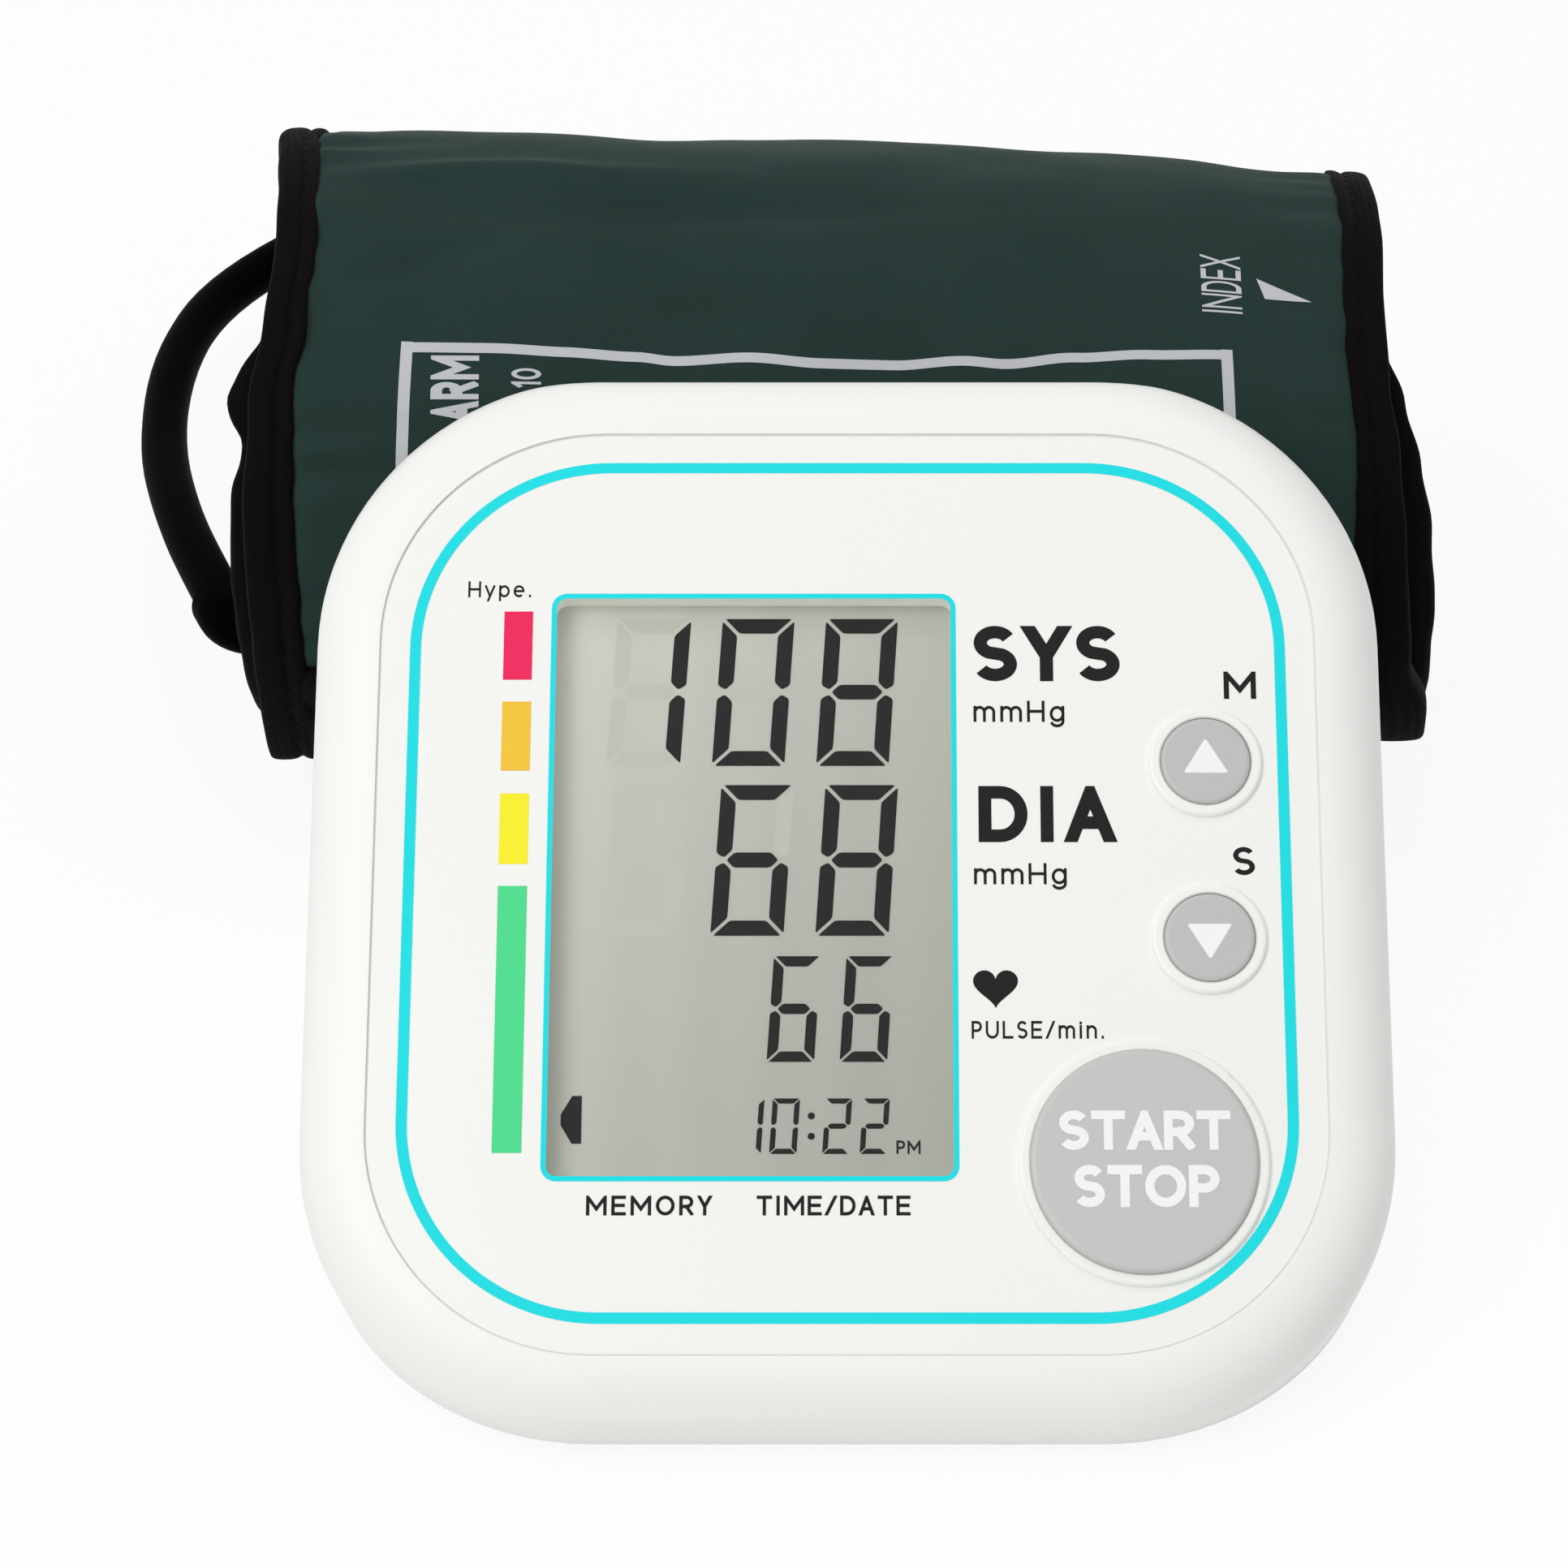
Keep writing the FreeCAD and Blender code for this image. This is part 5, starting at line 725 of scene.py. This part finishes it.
def slack(x, roll):
    """How far the outer wrap's fabric stands off its roll: broad soft folds, and gathers beside the seams."""
    up, rim, folds = TAIL_ANGLE - roll, COVER_HALF - abs(x), 0.0
    for height, level, slant, pivot, breadth, middle, length in FOLDS:
        off = (up - level + slant * (x - pivot)) / breadth
        folds += height * math.exp(-off ** 2) * math.exp(-((x - middle) / length) ** 2)
    loose = 0.9 * noise.noise(Vector((x / 34, roll / 26, 2.7)))
    loose += 0.4 * noise.noise(Vector((x / 13, roll / 14, 8.1)))
    gather = gathers(x, roll) * math.exp(-rim / 7.5) * (1 - math.exp(-rim / 1.2))
    return (folds + loose) * max(0.0, 1 - (x / COVER_HALF) ** 6) + gather


def strip_slab(across, along, width, length):
    """A closed flat slab: outer face at level 0, inner face at level 1, and a cloth map in metres."""
    bm = bmesh.new()
    bmesh.ops.create_grid(bm, x_segments=across, y_segments=along, size=0.5)
    bmesh.ops.translate(bm, vec=(0.5, 0.5, 0), verts=bm.verts)
    grown = bmesh.ops.extrude_face_region(bm, geom=bm.faces[:])
    lifted = [g for g in grown["geom"] if isinstance(g, bmesh.types.BMVert)]
    bmesh.ops.translate(bm, vec=(0, 0, 1), verts=lifted)
    cloth_map = bm.loops.layers.uv.new("cloth")
    for face in bm.faces:
        for loop in face.loops:
            loop[cloth_map].uv = (loop.vert.co.x * width * MM, loop.vert.co.y * length * MM)
    return bm


def outward(bm):
    """Turn the faces of a bmesh outwards."""
    bmesh.ops.recalc_face_normals(bm, faces=bm.faces)


def woven(name, colour, shade_colour, thread_mm, depth, roughness, sheen, gloss):
    """Woven cloth on its own map: over and under threads, with faint clouds in the dye."""
    tree, cloth_map, material = new_material(name, cloth=True)
    threads = {"Vector": cloth_map, "Scale": WAVE / thread_mm, "Distortion": 0.4, "Detail": 1.0}
    warp = add(tree, "TexWave", threads, bands_direction="X").outputs["Fac"]
    weft = add(tree, "TexWave", threads, bands_direction="Y").outputs["Fac"]
    height = add(tree, "Math", (warp, weft), operation="MULTIPLY")
    cloud = add(tree, "TexNoise", {"Vector": cloth_map, "Scale": NOISE / 18, "Detail": 3.0})
    dye = add(tree, "Mix", {"Factor": cloud, "A": srgb(shade_colour), "B": srgb(colour)}, data_type="RGBA")
    worn = add(tree, "MapRange", {"Value": height, "To Min": roughness + 0.08, "To Max": roughness - 0.08})
    relief = add(tree, "Bump", {"Height": height, "Strength": 0.5, "Distance": depth * MM})
    coat(tree, {"Base Color": dye, "Roughness": worn, "Specular IOR Level": gloss, "Sheen Weight": sheen,
                "Sheen Roughness": 0.5, "Normal": relief})
    return material


def settle(made, limits, sewn):
    """Let the fabric find its own puckers: sewn rims hold still, and full cloth beside them buckles."""
    held = made.vertex_groups.new(name="sewn")
    full = made.vertex_groups.new(name="full")
    for index, (rim, end) in enumerate(sewn):
        if rim < 0.1 or end < 1e-4:
            held.add([index], 1.0, "REPLACE")
        full.add([index], math.exp(-(rim / 9.0) ** 2), "REPLACE")
    drape = made.modifiers.new("drape", "CLOTH")
    cloth = drape.settings
    cloth.quality, cloth.mass, cloth.air_damping = 6, 0.1, 2
    cloth.tension_stiffness, cloth.compression_stiffness, cloth.shear_stiffness = 20, 20, 8
    cloth.bending_stiffness = 0.05
    cloth.vertex_group_mass = "sewn"
    cloth.vertex_group_shrink = "full"
    cloth.shrink_min, cloth.shrink_max = 0.0, -0.035
    cloth.use_pressure = True
    cloth.uniform_pressure_force = 0.4
    cloth.effector_weights.gravity = 0
    drape.collision_settings.use_collision = False
    start = [v.co.copy() for v in made.data.vertices]
    for step in range(1, SETTLE_FRAMES + 1):
        scene.frame_set(step)
    posed = made.evaluated_get(bpy.context.evaluated_depsgraph_get()).data.vertices
    finish = [v.co.copy() for v in posed]
    made.modifiers.remove(drape)
    made.vertex_groups.clear()
    scene.frame_set(1)
    for v, old, new, limit in zip(made.data.vertices, start, finish, limits):
        move = new - old
        reach = move.length / (limit * MM)
        v.co = old + move * (math.tanh(reach) / reach if reach > 1e-6 else 1)
        v.co.z = max(v.co.z, FLOOR_GAP * MM)


def soften(made):
    """Round off the facets of a soft piece."""
    smoother = made.modifiers.new("soften", "SUBSURF")
    smoother.levels = smoother.render_levels = 1


# Taffeta: fine dark green threads, smooth enough for a low sheen on the folds
nylon_green = woven("dark_green_nylon_taffeta", "#283B38", "#203330", 0.45, 0.03, 0.58, 0.01, 0.045)
bm = strip_slab(62, 248, 2 * COVER_HALF, 428.0)
# How far the cloth may settle: the outer wrap, the lining that shows, and what lies between the turns
FREE, LINING, HIDDEN = 1.3, 0.9, 0.25
limits, sewn = [], []
for v in bm.verts:
    x, inner = (2 * v.co.x - 1) * COVER_HALF, v.co.z > 0.5
    roll = HEM_ROLL + (HEAD_ROLL - HEM_ROLL) * v.co.y
    outer_wrap, inside = not inner and roll < INNER_ROLL, inner and roll > INNER_ROLL
    stand = slack(x, roll) if outer_wrap else 0.0
    limits.append(FREE if outer_wrap else LINING if inside else HIDDEN)
    sewn.append((COVER_HALF - abs(x), min(v.co.y, 1 - v.co.y)))
    jitter = 0.03 * noise.noise(Vector((x / 3.1, roll / 4.3, 4.0 if inner else 0.0)))
    v.co = roll_place(x, (PAD_THICK if inner else 0.0) - stand + jitter, roll)
outward(bm)
cuff_pad = piece("cuff_pad", bm, nylon_green, smooth=True)
settle(cuff_pad, limits, sewn)
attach(cuff_pad, "cuff")
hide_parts("cuff_cover", "cuff_lining", "cuff_stiffener", "cuff_bladder")
soften(cuff_pad)

# The cuff's printing: a pale guide frame, a size figure and a placing mark, screen printed on the nylon.
# The ink sinks into the weave and follows the folds of the fabric under it.
CLOTH_INK_LIFT = 0.08
cloth_ink = moulded("pale_textile_ink", "#C0C2C7", 0.6, 0.35, 0.03, 0.05, 0.2)
cover_skin = BVHTree.FromObject(cuff_pad, bpy.context.evaluated_depsgraph_get())


def on_cover(name, bm):
    """Wrap a flat print, drawn in millimetres across the cuff and degrees along its roll, on the fabric."""
    for v in bm.verts:
        above, below = roll_place(v.co.x, -5.0, v.co.y), roll_place(v.co.x, 4.0, v.co.y)
        spot, normal, _, _ = cover_skin.ray_cast(above, below - above)
        v.co = spot + normal * (CLOTH_INK_LIFT + v.co.z) * MM
    made = piece(name, bm, cloth_ink, smooth=True)
    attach(made, "cuff")


def print_line(bm, first, last, line):
    """A straight printed line between two spots, cut into short lengths so that it can follow the cloth."""
    run = Vector((last[0] - first[0], (last[1] - first[1]) * ARC_MM, 0))
    strip = bmesh.ops.create_grid(bm, x_segments=round(run.length), y_segments=1, size=0.5)["verts"]
    bmesh.ops.scale(bm, vec=(run.length + line, line, 1), verts=strip)
    aim = Matrix.Rotation(math.atan2(run.y, run.x), 3, "Z")
    bmesh.ops.rotate(bm, cent=(0, 0, 0), matrix=aim, verts=strip)
    bmesh.ops.scale(bm, vec=(1, 1 / ARC_MM, 1), verts=strip)
    bmesh.ops.translate(bm, vec=((first[0] + last[0]) / 2, (first[1] + last[1]) / 2, 0), verts=strip)


FRAME_TOP = [(-53.5, 86.7), (-42.7, 86.6), (-33.4, 86.1), (-24.2, 85.5), (-19.5, 84.8), (-10.3, 85.5),
             (-1.0, 84.6), (8.3, 84.7), (17.6, 85.9), (22.3, 85.5), (31.6, 87.1), (40.9, 88.2), (51.5, 88.6)]
LEFT_TOP, RIGHT_TOP, LEFT_FOOT, RIGHT_FOOT = (-53.4, 86.7), (51.0, 88.6), (-55.0, 34.0), (52.2, 34.0)
bm = bmesh.new()
print_line(bm, (LEFT_TOP[0], 0), (RIGHT_TOP[0], 0), 1.3)
for v in bm.verts:
    v.co.y += between(FRAME_TOP, v.co.x)
print_line(bm, LEFT_TOP, LEFT_FOOT, 1.5)
print_line(bm, RIGHT_TOP, RIGHT_FOOT, 1.5)
print_line(bm, LEFT_FOOT, RIGHT_FOOT, 1.3)
outward(bm)
on_cover("guide_frame_print", bm)


def cover_words(name, words, stroke, base, cap, first, last):
    """Words that read along the roll, with the tops of their letters to the left."""
    length = (last - first) * ARC_MM
    plain = sum(SIGNS[sign][0] + stroke + WORD_GAP for sign in words) - WORD_GAP
    bm = words_mesh(words, stroke, plain)
    bmesh.ops.subdivide_edges(bm, edges=bm.edges[:], cuts=2, use_grid_fill=True)
    for v in bm.verts:
        v.co = (base - v.co.y * cap, first + v.co.x * length / plain / ARC_MM, v.co.z)
    on_cover(name, bm)


cover_words("arm_side_print", "LEFT ARM", 0.24, -44.2, 6.1, 56.5, 85.2)
cover_words("size_figure_print", "10", 0.18, -36.3, 3.8, 79.5, 83.0)
cover_words("index_print", "INDEX", 0.13, 53.2, 5.2, 97.2, 110.2)
bm = bmesh.new()
facet(bm, [(55.2, 105.4), (56.2, 101.0), (62.3, 101.0)])
bmesh.ops.subdivide_edges(bm, edges=bm.edges[:], cuts=4, use_grid_fill=True)
on_cover("index_mark_print", bm)

# The edge bindings: black woven tape folded over the strip's long edges and stitched down along its middle.
# The stitching pulls a groove into the tape and gathers it slightly.
tape_black = woven("black_polyester_tape", "#110F0D", "#0A0908", 0.6, 0.04, 0.75, 0.01, 0.03)
# Where each edge of the outer and inner turns lies, by the angle up the roll
OUTER_RIGHT = [(-130, 74.5), (-40, 73.8), (20, 72.9), (85, 72.6), (118, 71.9), (130, 72.2), (145, 73.4),
               (160, 74.5), (190, 76.2), (204, 79.4), (222, 80.4)]
OUTER_LEFT = [(-130, 74.5), (-40, 74.2), (20, 73.4), (70, 73.2), (82, 72.2), (95, 71.4), (110, 71.0),
              (125, 72.0), (140, 73.6), (160, 74.5), (219, 74.6)]
INNER_RIGHT = [(-90, 76.6), (-20, 75.0), (40, 71.6), (108, 71.2), (120, 72.2), (132, 74.6), (146, 76.9),
               (160, 78.4), (185, 79.6), (222, 80.3), (240, 77.5)]
INNER_LEFT = [(-90, 76.6), (-20, 75.0), (40, 72.4), (108, 72.0), (124, 72.6), (131, 75.6), (137, 77.4),
              (141, 77.0), (145, 75.0), (149, 75.2), (156, 76.9), (174, 77.3), (216, 77.2), (235, 76.6)]
# The tape's rise from its inner edge to its fold
TAPE = [(0.0, 0.10), (0.06, 0.30), (0.16, 0.42), (0.26, 0.34), (0.335, 0.02), (0.37, -0.12), (0.405, 0.02),
        (0.48, 0.36), (0.62, 0.48), (0.78, 0.46), (0.90, 0.34), (0.96, 0.02), (0.99, -0.7), (1.0, -2.15)]
TAPE_STEPS, TAPE_WIDTH, SEAM = len(TAPE) - 1, 5.6, COVER_HALF - 0.9


def tape_edge(hand, roll):
    """Where the tape's folded edge lies, from the cuff's middle."""
    if roll < INNER_ROLL:
        edge = between(OUTER_LEFT if hand < 0 else OUTER_RIGHT, TAIL_ANGLE - roll)
    else:
        edge = between(INNER_LEFT if hand < 0 else INNER_RIGHT, TAIL_ANGLE + 360 - roll)
    return edge + 0.25 * noise.noise(Vector((roll / 9, 3.0 * hand, 0.5)))


def tape_place(hand, share, inner, roll):
    """A point of the folded tape: across it from the fabric to its edge, on its outer or inner leaf."""
    edge = tape_edge(hand, roll)
    seam = min(SEAM, edge - TAPE_WIDTH)
    start = seam + 0.22 * gathers(hand, roll) + 0.3 * noise.noise(Vector((roll / 5, 1.0 + hand, 9.0)))
    x = start + (edge - start) * share
    gather = 0.16 * noise.noise(Vector((share * 1.5, roll / 6.5, 5.0 + hand))) * (1 - share)
    rise = between(TAPE, share) + gather + 0.25 * (SEAM - seam) * (1 - share)
    return roll_place(hand * x, PAD_THICK + min(rise, 0.45) if inner else -rise, roll)


for name, hand, binding in (("left_tape", -1, "left_binding"), ("right_tape", 1, "right_binding")):
    bm = strip_slab(TAPE_STEPS, 230, 7.0, 460.0)
    for v in bm.verts:
        share = TAPE[round(v.co.x * TAPE_STEPS)][0]
        v.co = tape_place(hand, share, v.co.z > 0.5, END_ROLL * v.co.y)
    bmesh.ops.remove_doubles(bm, verts=bm.verts, dist=0.12 * MM)
    outward(bm)
    tape = piece(name, bm, tape_black, smooth=True)
    soften(tape)
    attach(tape, "cuff")
    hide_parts(binding)

# Lock stitches: black polyester thread pulled into the tape about every 3 mm.
# Each stitch is a short plump bead of thread in the tape's groove, on both leaves.
STITCHES, STITCH_INSET, GROOVE = 150, 3, 0.37
STITCH_SIZE = (0.42 * MM, 1.9 * MM, 0.36 * MM, 1)
thread_black = moulded("black_polyester_thread", "#060606", 0.6, 0.2, 0.03, 0.1, 0.06)
aside = Vector((1, 0, 0))
bm = bmesh.new()
for hand in (-1, 1):
    for inner in (False, True):
        for stitch in range(STITCHES):
            roll = STITCH_INSET + (END_ROLL - 2 * STITCH_INSET) * stitch / (STITCHES - 1)
            here = tape_place(hand, GROOVE, inner, roll)
            ahead = (tape_place(hand, GROOVE, inner, roll + 1) - here).normalized()
            out = aside.cross(ahead).normalized()
            bead = bmesh.ops.create_icosphere(bm, subdivisions=1, radius=0.5)
            seat = Matrix((aside, ahead, out)).transposed().to_4x4()
            place = Matrix.Translation(here) @ seat @ Matrix.Diagonal(STITCH_SIZE)
            bmesh.ops.transform(bm, matrix=place, verts=bead["verts"])
outward(bm)
stitches = piece("tape_stitches", bm, thread_black, smooth=True)
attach(stitches, "cuff")

# The end hems: the same tape folded over the strip's two short ends.
# They are sewn before the long bindings, which cover their corners.
bm = bmesh.new()
for first, last in ((0.0, HEM_ROLL), (END_ROLL, HEAD_ROLL)):
    hem = strip_slab(60, TAPE_STEPS, 2 * COVER_HALF, 16.0)
    for v in hem.verts:
        share, rise = TAPE[TAPE_STEPS - round(v.co.y * TAPE_STEPS)]
        roll = last + (first - last) * share + (0.9 if last > first else -0.9) * (1 - share)
        depth = PAD_THICK + min(rise, 0.3) if v.co.z > 0.5 else -rise
        v.co = roll_place((2 * v.co.x - 1) * COVER_HALF, depth, roll)
    bmesh.ops.remove_doubles(hem, verts=hem.verts, dist=0.1 * MM)
    outward(hem)
    join(bm, hem)
hems = piece("hem_tape", bm, tape_black, smooth=True)
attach(hems, "cuff")
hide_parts("end_hems")

# The hook patch: a stiff sheet of nylon hooks sewn under the free end.
# It grips the looped face of the turn below it.
hook_nylon = woven("black_nylon_hooks", "#191B1B", "#121414", 1.3, 0.3, 0.5, 0.05, 0.2)
HOOK_HALF, HOOK_START, HOOK_RUN = 50.0, 30.0, 80.0
bm = strip_slab(40, 30, 2 * HOOK_HALF, 55.0)
for v in bm.verts:
    x, roll = (2 * v.co.x - 1) * HOOK_HALF, HOOK_START + HOOK_RUN * v.co.y
    v.co = roll_place(x, PAD_THICK + (0.95 if v.co.z > 0.5 else 0.3), roll)
outward(bm)
hooks = piece("hook_sheet", bm, hook_nylon, smooth=True)
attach(hooks, "cuff")
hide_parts("hook_patch")

# The air hose: black extruded rubber, moulded onto its elbow at the cuff, coiled behind the cuff and tied.
# It ends in the plug that fits the socket in the monitor's side.
rubber_black = moulded("black_extruded_rubber", "#030304", 0.5, 0.7, 0.01, 0.1, 0.005)
CUFF_EDGE, HOSE_RADIUS = -77.0, 3.3
COIL_X, COIL_BACK, COIL_RADIUS, COIL_DRAW, COIL_LAYER, COIL_HEIGHT = -14.4, 110.2, 38.0, 7.0, 7.6, 4.3
COIL_STEPS, COIL_SWELL = 16, 1.012
route = [(-6.8, -13.0, 23.6), (-13.5, 6.0, 21.0), (-19.5, 31.0, 17.0), (-20.7, 58.0, 15.0),
         (-16.0, 80.0, 13.0), (0.0, 101.0, 12.0), (32.0, COIL_BACK, 11.9)]
hose_points = [(-81.2, 37.8, 24.1)]
hose_points += [(CUFF_EDGE + x, AXIS_Y + y, z) for x, y, z in route]
coil_y = AXIS_Y + COIL_BACK - COIL_RADIUS
for step in range(2 * COIL_STEPS + 1):
    turned = step / COIL_STEPS
    draw = COIL_DRAW * (1 - math.cos(math.pi * turned)) / 2
    fall = min(max((turned - 1) * 2 + 0.5, 0), 1)
    height = COIL_HEIGHT + COIL_LAYER * (1 - (1 - math.cos(math.pi * fall)) / 2)
    reach = (COIL_RADIUS - draw) * COIL_SWELL
    spin = 2 * math.pi * turned
    hose_points.append((COIL_X + reach * math.sin(spin), coil_y + reach * math.cos(spin), height))
hose_points.append((-7.8, AXIS_Y + COIL_BACK, COIL_HEIGHT))
curve = bpy.data.curves.new("air_hose", "CURVE")
curve.dimensions = "3D"
spline = curve.splines.new("NURBS")
spline.points.add(len(hose_points) - 1)
for point, place in zip(spline.points, hose_points):
    point.co = (*(c * MM for c in place), 1)
spline.order_u = 3
spline.use_endpoint_u = True
spline.resolution_u = 6
curve.bevel_depth = HOSE_RADIUS * MM
curve.bevel_resolution = 6
curve.materials.append(rubber_black)
air_hose = put("air_hose", curve)
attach(air_hose, "cuff")
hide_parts("hose_run", "hose_coil")
paint(rubber_black, "hose_elbow", "hose_tie", "air_plug")
